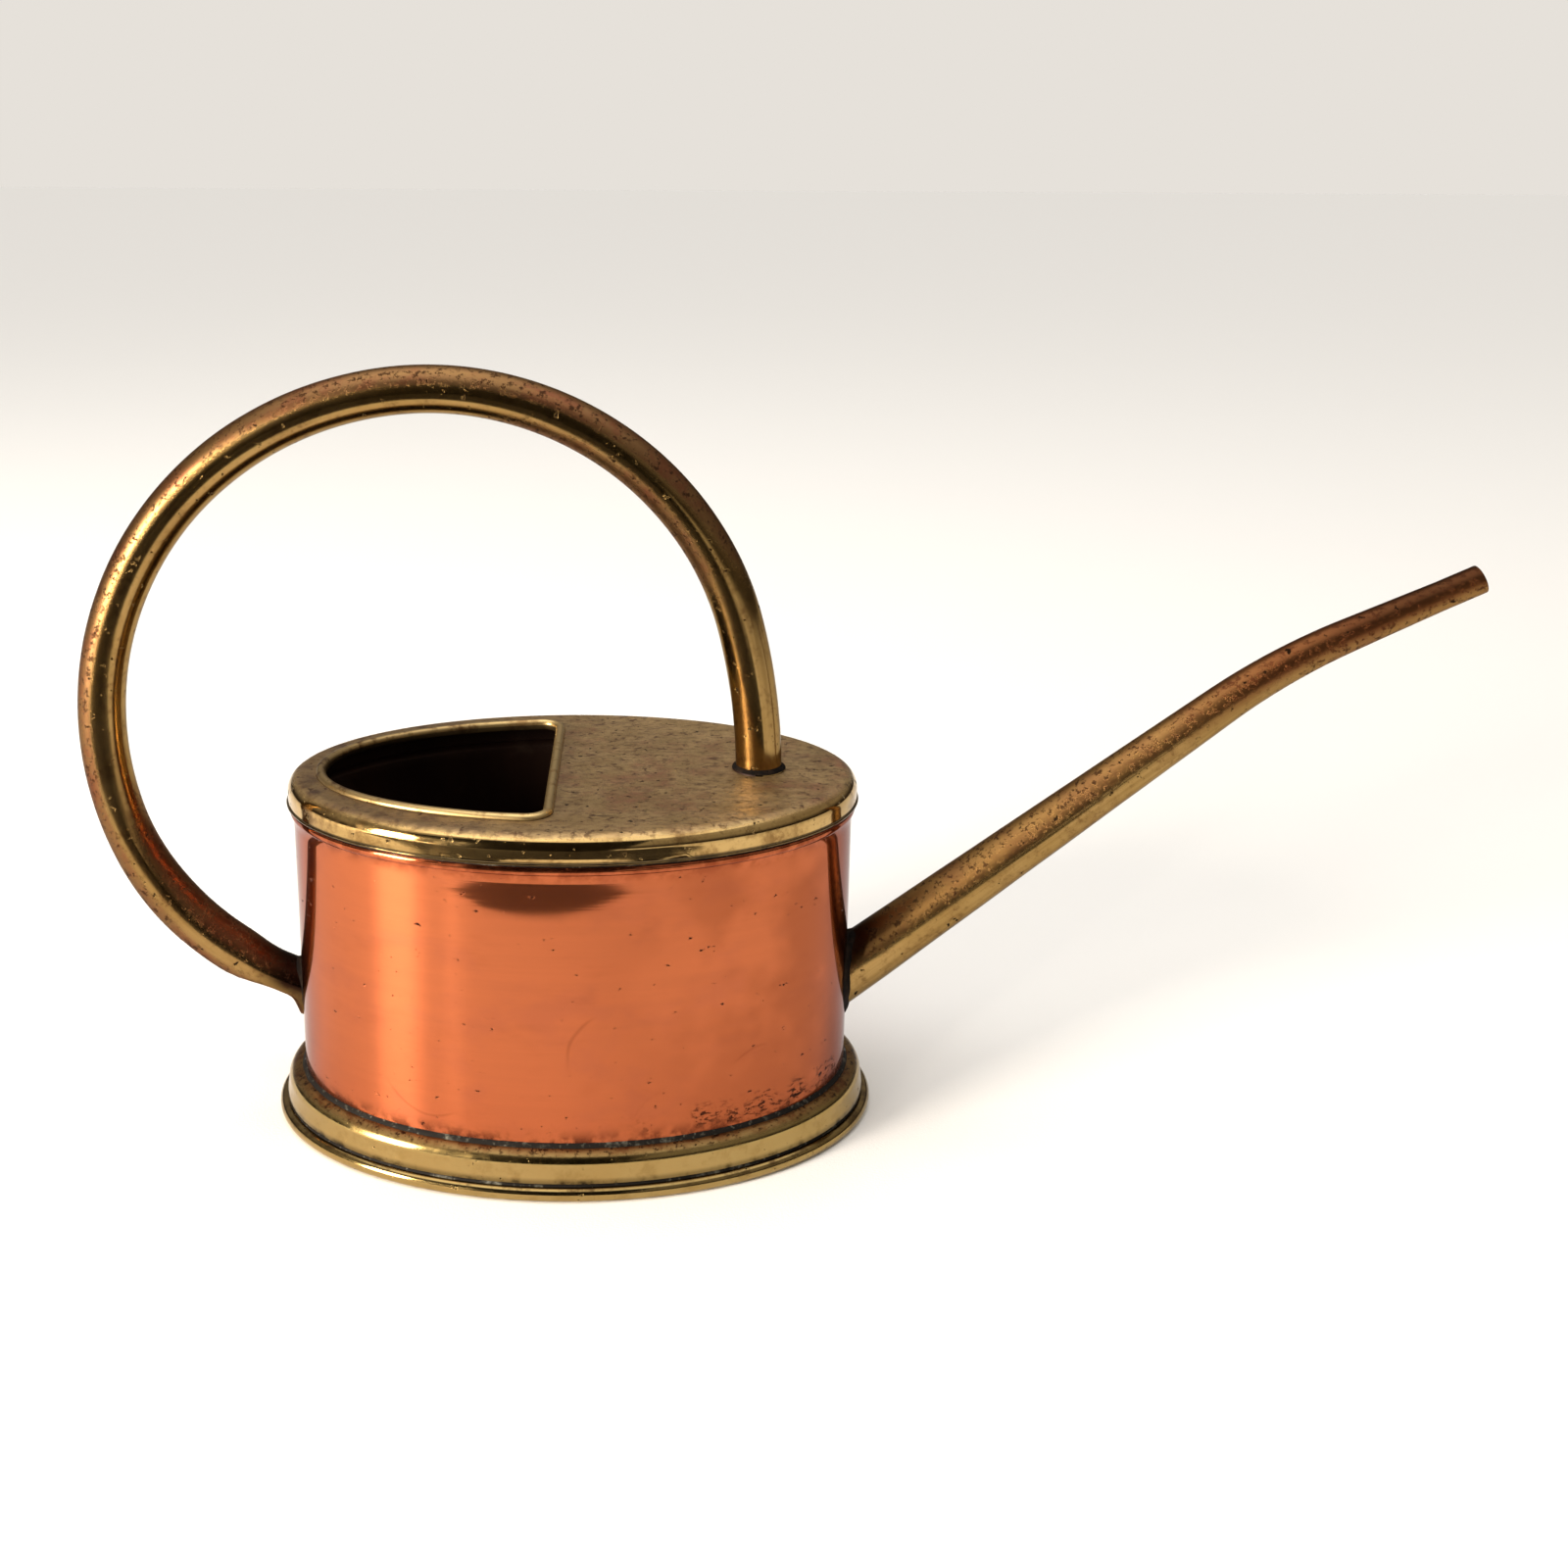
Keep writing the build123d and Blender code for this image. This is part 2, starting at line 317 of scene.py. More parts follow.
def polished_copper(finishes):
    """Rolled copper sheet, buffed round the body: warm orange, mirror-like along the height.

    The buffing lines run round the oval, so a lamp draws into an upright band of light. Real lines
    are under 0.1 mm apart and real pits under 1 mm across, too fine to show, so the lines are
    drawn 1.6 mm apart and 110 mm long, and the pits 2 mm across.
    """
    finish, tree = new_finish("rolled copper sheet, buffed and hand-worn")
    where, at, _ = places(tree)
    lines = patches(tree, where, MM, 0.36, 0.64, 4.0, stretch=(0.009, 0.009, 0.62))
    clouds = patches(tree, where, 50 * MM, 0.40, 0.66, 2.0)
    rubbed = patches(tree, where, 12 * MM, 0.52, 0.74, 9.0, 0.62, stretch=(1.0, 1.0, 2.2))
    browned = patches(tree, where, 40 * MM, 0.40, 0.60, 3.0, 0.6)
    hazed = patches(tree, where, 22 * MM, 0.48, 0.66, 6.0, 0.6, stretch=(1.0, 1.0, 1.6))
    spout_side = zone(tree, (at["X"], -10 * MM, 60 * MM))
    base = overlaid(
        tree,
        colour(hex_of(finishes.copper)),
        [
            (clouds, 0.30, colour("#B2623D")),
            (hazed, 0.45, colour("#A85C40")),
            (browned, spout_side, 0.60, colour("#8E4A2C")),
            (lines, 0.18, colour("#A65C3B")),
        ],
    )

    near_base = zone(tree, (at["Z"], ledge_high.z + 5 * MM, ledge_high.z - 1 * MM))
    near_bead = zone(tree, (at["Z"], seam_low.z - 7 * MM, seam_low.z - 1 * MM))
    # Both ends are darker: partly heat tarnish from soldering on the handle and the spout, and partly a
    # painted dark reflection standing in for the dark surroundings that the grazing ends reflect.
    across = node(tree, "ShaderNodeMath", {0: at["X"]}, operation="ABSOLUTE")
    ends_tarnish_and_dark_reflection = zone(tree, (across, BODY_LENGTH - 12 * MM, BODY_LENGTH))
    ragged = patches(tree, where, 6 * MM, 0.40, 0.60, 8.0, 0.65)
    pits = patches(tree, where, 1.9 * MM, 0.69, 0.75, 3.0)
    nicks = patches(tree, where, 4 * MM, 0.665, 0.70, 6.0, 0.65, stretch=(1.0, 1.0, 2.0))
    pit_zone = patches(tree, where, 28 * MM, 0.52, 0.60, 2.0)
    low_zone = zone(tree, (at["Z"], 42 * MM, 17 * MM))
    eaten = patches(tree, where, 2.6 * MM, 0.53, 0.58, 6.0, 0.75, stretch=(1.0, 1.0, 2.2))
    eaten_zone = zone(
        tree,
        (at["X"], 14 * MM, 34 * MM),
        (at["Z"], ledge_high.z + 11 * MM, ledge_high.z + 5 * MM),
        (at["Z"], ledge_high.z, ledge_high.z + 3 * MM),
    )
    eaten_zone = product(tree, eaten_zone, patches(tree, where, 20 * MM, 0.42, 0.52, 1.0))
    stains = product(tree, pits, pit_zone, overlaid(tree, 0.35, [(low_zone, 1.0)]))
    for more in (product(tree, eaten, eaten_zone), nicks):
        stains = node(tree, "ShaderNodeMath", {0: stains, 1: more}, operation="MAXIMUM")

    drift = node(tree, "ShaderNodeTexNoise", {"Vector": where, "Scale": 16.0, "Detail": 2.0})
    drifted = {0: 0.05, 4: where, 5: drift.node.outputs["Color"]}
    warped = node(tree, "ShaderNodeMix", drifted, data_type="VECTOR")
    spacing = {"Vector": warped, "Scale": 1 / (125 * MM)}
    cells = node(tree, "ShaderNodeTexVoronoi", spacing, feature="DISTANCE_TO_EDGE")
    faint = patches(tree, where, 30 * MM, 0.56, 0.68, 1.0)
    hairlines = product(tree, zone(tree, (cells, 0.005, 0.001)), faint, 0.30)
    base = overlaid(
        tree,
        base,
        [
            # painted dark reflection and heat tarnish at both ends
            (ends_tarnish_and_dark_reflection, 0.6, colour("#7C3A22")),
            (near_bead, ragged, 0.75, colour("#7A3820")),
            (near_base, ragged, 0.9, colour("#4A2114")),
            (rubbed, 0.16, colour("#8A4529")),
            (hairlines, colour("#7A3B26")),
            (stains, colour("#2A1712")),
        ],
    )
    roughness = overlaid(
        tree,
        0.05,
        [
            (rubbed, 0.35, 0.14),
            (lines, 0.5, 0.09),
            (hairlines, 0.22),
            (near_base, ragged, 0.35),
            (stains, 0.55),
        ],
    )
    mirror = {
        "Base Color": base,
        "Roughness": roughness,
        "Metallic": 1.0,
        "Normal": relief(tree, [(lines, 0.0015 * MM), (stains, -1.0, 0.06 * MM)]),
        "Specular Tint": colour("#E6E6EA"),
    }
    scratched = {
        **mirror,
        "Roughness": SCRATCH_SPREAD,
        "Anisotropic": 1.0,
        "Anisotropic Rotation": 0.25,
        "Tangent": node(tree, "ShaderNodeTangent", direction_type="RADIAL", axis="Z"),
    }
    polish, scratches = (node(tree, "ShaderNodeBsdfPrincipled", looks) for looks in (mirror, scratched))
    both = node(tree, "ShaderNodeMixShader", {0: SCRATCH_SHARE, 1: polish, 2: scratches})
    node(tree, "ShaderNodeOutputMaterial", {"Surface": both})
    return finish


def inside_copper(finishes):
    """Copper left unpolished inside: nearly black brown and dull from standing water, and darkened further
    as painted shade of the closed inside.
    """
    finish, tree = new_finish("copper and brass, tarnished by water inside")
    where = places(tree)[0]
    lime = patches(tree, where, 14 * MM, 0.55, 0.75)
    streaks = patches(tree, where, MM, 0.4, 0.7, stretch=(0.06, 0.06, 0.008))
    # These near-black browns carry painted shade of the closed inside as well as tarnish.
    base = overlaid(
        tree,
        colour("#2B1810"),
        [(streaks, 0.5, colour("#3D2516")), (lime, 0.25, colour("#5C4A38"))],
    )
    roughness = overlaid(tree, 0.5, [(lime, 0.7)])
    shade(tree, base, roughness, relief(tree, [(lime, 0.1 * MM)]), metallic=0.6)
    return finish


def cover_brass(finishes):
    """Pressed brass sheet: dull and speckled where it lies flat, rubbed bright on its shoulder.

    The speckle and the pits of old tarnish are under 1 mm across. They are drawn 3 mm across, so
    that they show.
    """
    finish, tree = new_finish("pressed brass sheet, dull with age")
    where, at, facing = places(tree)
    flat = zone(tree, (facing["Z"], 0.62, 0.97))
    edge_wear = patches(tree, where, 7 * MM, 0.40, 0.62, 6.0, 0.65)
    flat = product(tree, flat, overlaid(tree, 0.75, [(edge_wear, 1.0)]))
    clouds = patches(tree, where, 32 * MM, 0.38, 0.64, 3.0)
    rust = patches(tree, where, 20 * MM, 0.47, 0.66, 7.0, 0.66)
    grain = patches(tree, where, 4.2 * MM, 0.43, 0.60, 9.0, 0.75, stretch=(1.0, 1.8, 1.0))
    speckle = patches(tree, where, 2.6 * MM, 0.52, 0.62, 7.0, 0.75)
    pits = patches(tree, where, 3.4 * MM, 0.655, 0.69, 4.0)
    scuffs = patches(tree, where, 5.5 * MM, 0.655, 0.70, 5.0, 0.6, stretch=(0.30, 1.8, 1.0))
    blotches = patches(tree, where, 9 * MM, 0.50, 0.68, 6.0, 0.65)
    freckles = patches(tree, where, 5.2 * MM, 0.54, 0.61, 8.0, 0.8)
    streaks = patches(tree, where, MM, 0.46, 0.72, 4.0, stretch=(0.024, 0.024, 0.19))
    bright = overlaid(
        tree,
        colour(hex_of(finishes.brass)),
        [
            (clouds, 0.5, colour("#A5824C")),
            (blotches, 0.7, colour("#6E4E2A")),
            (streaks, 0.45, colour("#7E5F33")),
            (speckle, 0.35, colour("#6B4C2C")),
            (pits, 0.9, colour("#241A10")),
        ],
    )
    dull = overlaid(
        tree,
        colour("#AE9064"),
        [
            (clouds, 0.8, colour("#9B8058")),
            (rust, 0.85, colour("#8A5A42")),
            (grain, 0.75, colour("#6F583E")),
            (speckle, 0.70, colour("#54402B")),
            (scuffs, 0.85, colour("#3A2A1C")),
            (pits, 0.95, colour("#1E150D")),
        ],
    )
    # Painted shade: the lowest edge of the lip, over the dark gap to the copper bead, is darkened in
    # blotches.
    under_skirt = zone(tree, (at["Z"], cover_low.z + 1.5 * MM, cover_low.z + 0.85 * MM))
    handle_side = zone(tree, (at["X"], 15 * MM, -55 * MM))
    dull = overlaid(
        tree,
        dull,
        [
            (handle_side, overlaid(tree, 0.62, [(blotches, 1.0)]), colour("#4A3526")),
            (freckles, 0.8, colour("#4A2C1C")),
        ],
    )
    lip_shade = overlaid(tree, 0.80, [(blotches, 1.0)])
    base = overlaid(tree, bright, [(flat, dull), (under_skirt, lip_shade, colour("#3E3422"))])
    roughness = overlaid(
        tree,
        0.09,
        [(flat, 0.42), (blotches, 0.35, 0.40), (grain, flat, 0.5, 0.55), (pits, 0.7)],
    )
    heights = [(grain, flat, 0.05 * MM), (speckle, flat, 0.03 * MM), (pits, -1.0, 0.12 * MM)]
    oxide = overlaid(tree, 1.0, [(flat, 0.72)])
    shade(tree, base, roughness, relief(tree, heights), metallic=oxide)
    return finish


def rim_brass(finishes):
    """Rolled brass edge: paler and smoother than the cover, with grime along its foot."""
    finish, tree = new_finish("rolled brass edge, worn pale")
    where, at, _ = places(tree)
    blotches = patches(tree, where, 5 * MM, 0.50, 0.68, 6.0)
    pits = patches(tree, where, 1.3 * MM, 0.68, 0.74, 3.0)
    foot = zone(tree, (at["Z"], cover_high.z - 0.1 * MM, cover_high.z - 0.7 * MM))
    handle_side = zone(tree, (at["X"], -5 * MM, -50 * MM))
    base = overlaid(
        tree,
        colour("#C4A873"),
        [
            (blotches, 0.7, colour("#84603A")),
            (handle_side, overlaid(tree, 0.45, [(blotches, 1.0)]), colour("#5A4228")),
            (foot, 0.9, colour("#2C2014")),
            (pits, colour("#2E2114")),
        ],
    )
    roughness = overlaid(tree, 0.36, [(blotches, 0.45), (foot, 0.7)])
    shade(tree, base, roughness, relief(tree, [(pits, -1.0, 0.1 * MM)]))
    return finish


def base_brass(finishes):
    """Spun brass moulding: bright on its band and rounds, brown and black in its corners.

    Its pits and speckle are under 1 mm across and are drawn twice as coarse, so that they show.
    """
    finish, tree = new_finish("spun brass moulding, polished over old grime")
    where, at, _ = places(tree)
    clouds = patches(tree, where, 30 * MM, 0.38, 0.68)
    blotches = patches(tree, where, 6 * MM, 0.46, 0.68, 6.0, 0.65)
    pits = patches(tree, where, 1.8 * MM, 0.68, 0.74, 3.0)
    speckle = patches(tree, where, 1.6 * MM, 0.53, 0.60, 6.0, 0.75)
    near_wall = zone(tree, (at["Z"], band_high.z - 2.2 * MM, band_high.z - 0.5 * MM))
    groove = zone(tree, (at["Z"], groove_high.z + 2.2 * MM, groove_high.z + 0.5 * MM))
    flange_top = zone(tree, (at["Z"], groove_low.z - 1.9 * MM, groove_low.z - 0.3 * MM))
    on_plate = zone(tree, (at["Z"], groove_low.z + 0.1 * MM, groove_low.z - 0.1 * MM))
    groove_grime = overlaid(tree, 0.5, [(blotches, 1.0)])
    above_plate = overlaid(tree, 1.0, [(on_plate, 0.0)])
    base = overlaid(
        tree,
        colour("#A38B58"),
        [
            (clouds, 0.5, colour("#957A46")),
            (blotches, 0.35, colour("#7E6234")),
            (near_wall, overlaid(tree, 0.65, [(blotches, 1.0)]), colour("#5E3A20")),
            (near_wall, speckle, colour("#2E1C10")),
            (groove, groove_grime, above_plate, colour("#241E14")),
            (flange_top, on_plate, overlaid(tree, 0.35, [(blotches, 0.9)]), colour("#4A3620")),
            (pits, colour("#2A1E12")),
        ],
    )
    roughness = overlaid(tree, 0.13, [(blotches, 0.6, 0.30), (near_wall, 0.42), (pits, 0.7)])
    shade(tree, base, roughness, relief(tree, [(pits, -1.0, 0.08 * MM)]))
    return finish


def tube_brass(finishes, name, brown_code, rust_share, masks):
    """Drawn brass tube: gold where hands rub it, red-brown and speckled where they don't.

    Its speckle is under 1 mm across and is drawn 2 mm across, so that it shows. The masks are
    functions for the browned side, the redder stretch and the flame's smoke.
    """
    finish, tree = new_finish(name)
    where, at, facing = places(tree)
    browned, redder, smoked = (mask(tree, at, facing) for mask in masks)
    run = tree.nodes.new("ShaderNodeUVMap").outputs["UV"]
    streaks = patches(tree, run, MM, 0.42, 0.68, 5.0, stretch=(0.42, 0.022, 0.001))
    clouds = patches(tree, where, 35 * MM, 0.40, 0.64)
    blotches = patches(tree, where, 8 * MM, 0.44, 0.64, 7.0, 0.7)
    rust = patches(tree, where, 14 * MM, 0.42, 0.62, 7.0, 0.7)
    speckle = patches(tree, where, 2 * MM, 0.52, 0.60, 6.0, 0.75)
    pits = patches(tree, where, 2.8 * MM, 0.665, 0.71, 3.0)
    wear = overlaid(tree, 0.80, [(clouds, 0.92), (blotches, 1.0)])
    patina = zone(tree, (product(tree, browned, wear), 0.08, 0.62))
    brown = overlaid(
        tree,
        colour(brown_code),
        [
            (rust, rust_share, colour("#714730")),
            (streaks, 0.35, colour("#84653C")),
            (speckle, 0.85, colour("#2C1C12")),
        ],
    )
    base = overlaid(
        tree,
        colour(hex_of(finishes.tube)),
        [
            (clouds, 0.55, colour("#8C6E3C")),
            (streaks, 0.40, colour("#6F5129")),
            (blotches, 0.30, colour("#6A4A28")),
            (patina, brown),
            (blotches, speckle, 0.4, colour("#4E331E")),
            (redder, colour("#643820")),
            (smoked, colour("#24150E")),
            (pits, 0.95, colour("#1C130C")),
        ],
    )
    roughness = overlaid(
        tree,
        0.16,
        [(streaks, 0.5, 0.24), (patina, 0.36), (patina, speckle, 0.5), (pits, 0.7)],
    )
    normal = relief(tree, [(speckle, patina, 0.03 * MM), (pits, -1.0, 0.10 * MM)])
    shade(tree, base, roughness, normal, constants={"Specular Tint": colour("#C4C4C4")})
    return finish


def handle_top(tree, at, facing):
    """Upper and outer side of the hoop, away from the clean stretch beside the cover."""
    upward = zone(tree, (facing["Z"], 0.0, 0.6))
    leftward = zone(tree, (facing["X"], 0.1, -0.6))
    side = node(tree, "ShaderNodeMath", {0: upward, 1: leftward}, operation="MAXIMUM")
    clean = zone(tree, (at["X"], 20 * MM, 45 * MM), (at["Z"], 190 * MM, 150 * MM))
    return overlaid(tree, side, [(clean, 0.1)])


def spout_top(tree, at, facing):
    """Upper side of the spout and, towards its tip, all round."""
    upward = zone(tree, (facing["Z"], -0.10, 0.55))
    far = zone(tree, (at["X"], 180 * MM, 250 * MM))
    return overlaid(tree, upward, [(far, 0.75, 1.0)])


def handle_red(tree, at, facing):
    """Redder brown low on the hoop."""
    return product(tree, zone(tree, (at["Z"], 130 * MM, 80 * MM), (facing["Z"], -0.3, 0.4)), 0.4)


def spout_red(tree, at, facing):
    """Redder brown over the last third of the spout."""
    return product(tree, zone(tree, (at["X"], 165 * MM, 215 * MM), (facing["Z"], -0.5, 0.2)), 0.85)


def handle_smoke(tree, at, facing):
    """Black left by the soldering flame on the handle's top, just before the copper."""
    return zone(
        tree,
        (at["X"], -BODY_LENGTH - 17 * MM, -BODY_LENGTH - 4 * MM),
        (at["Z"], 80 * MM, 66 * MM),
        (facing["Z"], -0.75, 0.1),
    )


def spout_smoke(tree, at, facing):
    """Black left by the soldering flame on the spout's top, and old dirt along the top of its tip."""
    near = zone(tree, (at["X"], BODY_LENGTH + 17 * MM, BODY_LENGTH + 3 * MM))
    tip = product(tree, zone(tree, (at["X"], 200 * MM, 255 * MM)), 0.7)
    both = node(tree, "ShaderNodeMath", {0: near, 1: tip}, operation="MAXIMUM")
    return product(tree, both, zone(tree, (facing["Z"], 0.1, 0.6)), 0.92)


def handle_brass(finishes):
    """The hoop's tube, browned most by hands and weather."""
    masks = (handle_top, handle_red, handle_smoke)
    return tube_brass(finishes, "drawn brass tube, handled and browned", "#755637", 1.0, masks)


def spout_brass(finishes):
    """The spout's tube, rolled from sheet, more golden than the hoop."""
    masks = (spout_top, spout_red, spout_smoke)
    return tube_brass(finishes, "rolled brass cone, red-brown on top", "#8E6B3E", 0.5, masks)


def dull_solder(finishes):
    """Soft solder: grey, lumpy and half covered with black grime."""
    finish, tree = new_finish("soft solder, dull with black grime")
    where = places(tree)[0]
    grime = patches(tree, where, 12 * MM, 0.26, 0.46, 7.0, 0.7)
    glints = patches(tree, where, 1.6 * MM, 0.58, 0.68, 4.0)
    base = overlaid(
        tree,
        colour("#7D7A6C"),
        [(grime, colour("#17120D")), (glints, 0.25, colour("#8F8A7A"))],
    )
    roughness = overlaid(tree, 0.45, [(grime, 0.7), (glints, 0.3)])
    shade(tree, base, roughness, relief(tree, [(grime, 0.15 * MM)]), metallic=0.7)
    return finish


def burnt_solder(finishes):
    """Solder under a sooty crust of flux at the tubes' joints: matt black, no metal showing."""
    finish, tree = new_finish("hard solder, black with old flux")
    grime = patches(tree, places(tree)[0], 3 * MM, 0.3, 0.6, 7.0, 0.7)
    base = overlaid(tree, colour("#251A12"), [(grime, colour("#0C0806"))])
    normal = relief(tree, [(grime, 0.15 * MM)])
    shade(tree, base, 0.85, normal, metallic=0.0, constants={"Specular IOR Level": 0.1})
    return finish


FINISHES = {
    "copper": polished_copper,
    "inside": inside_copper,
    "cover": cover_brass,
    "rim": rim_brass,
    "base": base_brass,
    "handle": handle_brass,
    "spout": spout_brass,
    "solder": dull_solder,
    "burnt": burnt_solder,
}


def finishes_of(*keys):
    """The finishes of those keys, each made when first asked for."""
    chosen = []
    for key in keys:
        finish = next((made for made in bpy.data.materials if made.get("can_key") == key), None)
        if not finish:
            finish = FINISHES[key](bpy.context.scene.can_finish)
            finish["can_key"] = key
        chosen.append(finish)
    return chosen


# ---- user settings -----------------------------------------------------------------------------
class CanSizes(bpy.types.PropertyGroup):
    """Small sizes that change how worn the can is, and leave its outline."""

    dent_depth: FloatProperty(
        name="Dent depth",
        description="How far the copper wanders from a true oval",
        default=0.10 * MM,
        min=0.0,
        subtype="DISTANCE",
        unit="LENGTH",
    )
    solder_lumps: FloatProperty(
        name="Solder lumps",
        description="How uneven the solder lines are",
        default=0.28 * MM,
        min=0.0,
        subtype="DISTANCE",
        unit="LENGTH",
    )
    lip_drop: FloatProperty(
        name="Lip drop",
        description="How far the handle's turned-down lip hangs below the tube",
        default=3.6 * MM,
        min=0.0,
        subtype="DISTANCE",
        unit="LENGTH",
    )


def swatch(label, words, code):
    """A colour property, shown in sRGB."""
    return FloatVectorProperty(
        name=label,
        description=words,
        default=[int(code[i : i + 2], 16) / 255 for i in (1, 3, 5)],
        min=0.0,
        max=1.0,
        size=3,
        subtype="COLOR_GAMMA",
    )


class CanFinish(bpy.types.PropertyGroup):
    """Colours of the clean metals."""

    copper: swatch("Copper", "Colour of the polished copper", "#B96640")
    brass: swatch("Cover brass", "Colour of the cover's rubbed brass", "#C2A269")
    tube: swatch("Tube brass", "Colour of the handle's and the spout's clean brass", "#A08250")


# ---- copper wall -------------------------------------------------------------------------------
COPPER_SHEET = 0.8 * MM
WALL_ROW = 3 * MM
BEAD_HALF_HEIGHT = 1.4 * MM
FLARE_HEIGHT = 2.6 * MM         # the sheet leans out a little towards the bead
FLARE_OUT = 0.26 * MM
BEAD_INSIDE = 0.55              # the bead is shallower inside the sheet
OUTLET_RADIUS = 7.0 * MM
DENT_WAVES = ((45 * MM, 1.0, 3.1), (18 * MM, 0.45, 7.7))


def wall_profile():
    """The wall's section: up the outside over the bead, then down the inside."""
    bead_middle = seam_low.z - BEAD_HALF_HEIGHT
    bead_foot = bead_middle - BEAD_HALF_HEIGHT
    rows = round((bead_foot - wall_low.z) / WALL_ROW)
    top = bead_foot - FLARE_HEIGHT
    profile = [(0.0, 0.0, wall_low.z + (top - wall_low.z) * i / rows) for i in range(rows + 1)]
    profile += [(0.1 * FLARE_OUT, 0.0, top + 0.2 * FLARE_HEIGHT), (FLARE_OUT, 0.0, bead_foot)]
    for i in range(1, 12):
        turn = radians(-90 + 15 * i)
        profile.append((BEAD_OUT * cos(turn), 0.0, bead_middle + BEAD_HALF_HEIGHT * sin(turn)))
    profile += [(0.0, 0.0, seam_low.z), (0.0, 0.0, wall_high.z)]
    inner = [(grow * BEAD_INSIDE, COPPER_SHEET, z) for grow, inset, z in reversed(profile)]
    inner[0] = (0.0, COPPER_SHEET, wall_high.z)
    return profile + inner


def dent_wall(rings):
    """Lets the sheet wander a little between its stiff ends, as hand-worked copper does."""
    depth = bpy.context.scene.can_sizes.dent_depth
    for ring in rings:
        for i, point in enumerate(ring):
            free = smooth(band_high.z, band_high.z + 14 * MM, point.z)
            free *= 1 - smooth(seam_low.z - 14 * MM, seam_low.z - 5 * MM, point.z)
            dent = depth * free * swing(point, *DENT_WAVES)
            point += oval_outward(2 * pi * i / AROUND) * dent


class WATERINGCAN_OT_copper_wall(bpy.types.Operator):
    """Build the oval copper wall with its bead and the outlet behind the spout"""

    bl_idname = "wateringcan.copper_wall"
    bl_label = "Copper Wall"

    def execute(self, context):
        rings = oval_rings(wall_profile())
        dent_wall(rings)
        mesh = skin("copper_wall", rings)

        def choose(centre, normal):
            outward = Vector((centre.x / BODY_LENGTH**2, centre.y / BODY_WIDTH**2, 0))
            return 0 if normal.dot(outward) > 0 else 1

        finishes = finishes_of("copper", "inside")
        wall = place_piece("copper_wall", mesh, ["body_wall"], finishes, choose)
        cutter = bpy.data.meshes.new("outlet_cutter")
        drill = bmesh.new()
        bmesh.ops.create_cone(
            drill,
            cap_ends=True,
            segments=48,
            radius1=OUTLET_RADIUS,
            radius2=OUTLET_RADIUS,
            depth=30 * MM,
            matrix=Matrix.Translation(spout_start()) @ Matrix.Rotation(pi / 2 - SPOUT_ANGLE, 4, "Y"),
        )
        drill.to_mesh(cutter)
        drill.free()
        drill_bit = bpy.data.objects.new("outlet_cutter", cutter)
        context.scene.collection.objects.link(drill_bit)
        cut = wall.modifiers.new("outlet", "BOOLEAN")
        cut.operation = "DIFFERENCE"
        cut.solver = "EXACT"
        cut.object = drill_bit
        context.view_layer.update()
        pierced = wall.evaluated_get(context.evaluated_depsgraph_get())
        wall.data = bpy.data.meshes.new_from_object(pierced)
        wall.modifiers.clear()
        bpy.data.objects.remove(drill_bit)
        return {"FINISHED"}


# ---- cover and its opening ---------------------------------------------------------------------
BRASS_SHEET = 1.0 * MM
COVER_ROUND = 4.6 * MM
LIP_HEIGHT = 0.9 * MM
LIP_OUT = 0.5 * MM
RIM_WIDTH = 3.0 * MM
OPENING_HALF_WIDTH = 44.6 * MM  # half the width the D's oval would reach if it weren't cut straight
OPENING_CORNER = 6.0 * MM
COLLAR_WIDTH = 1.1 * MM
COLLAR_HEIGHT = 0.7 * MM
HANDLE_RADIUS = 7.0 * MM
HANDLE_GAP = 0.15 * MM
TOP_WANDER = 0.11 * MM          # how far the cover's top is from flat
TOP_WAVES = ((30 * MM, 1.0, 2.3), (12 * MM, 0.5, 5.9))
PLATE_GRID = 2.6 * MM           # spacing of the points that carry it
cover_top = cover_high.z - COLLAR_HEIGHT
handle_x = (ring_low.x + ring_high.x) / 2


def even_loop(points, count):
    """A closed line of points spaced evenly."""
    lengths = [0.0]
    for i, point in enumerate(points):
        lengths.append(lengths[-1] + (points[(i + 1) % len(points)] - point).length)
    spaced = []
    i = 0
    for k in range(count):
        target = lengths[-1] * k / count
        while lengths[i + 1] < target:
            i += 1
        share = (target - lengths[i]) / (lengths[i + 1] - lengths[i])
        spaced.append(points[i].lerp(points[(i + 1) % len(points)], share))
    return spaced


def opening_outline(grow, count=176):
    """The D of the opening, grown from the middle of its edge.

    It is an oval, cut straight towards the spout, with round corners where the cut meets it.
    """
    half_length = -rim_low.x - RIM_WIDTH / 2 + grow
    half_width = OPENING_HALF_WIDTH + grow
    straight = rim_high.x - RIM_WIDTH / 2 + grow
    corner = OPENING_CORNER + grow

    def corner_centre(turn):
        out = Vector((cos(turn) / half_length, sin(turn) / half_width)).normalized()
        return Vector((half_length * cos(turn), half_width * sin(turn))) - corner * out, out

    low, high = radians(60), radians(150)
    for _ in range(40):
        middle = (low + high) / 2
        if corner_centre(middle)[0].x > straight - corner:
            low = middle
        else:
            high = middle
    centre, out = corner_centre(low)
    points = []
    for i in range(400):
        turn = low + (2 * pi - 2 * low) * i / 399
        points.append(Vector((half_length * cos(turn), half_width * sin(turn))))
    first = atan2(out.y, out.x)
    for i in range(1, 24):
        turn = -first + first * i / 24
        points.append(Vector((centre.x + corner * cos(turn), -centre.y + corner * sin(turn))))
    for i in range(24):
        turn = first * i / 24
        points.append(Vector((centre.x + corner * cos(turn), centre.y + corner * sin(turn))))
    return even_loop(points, count)


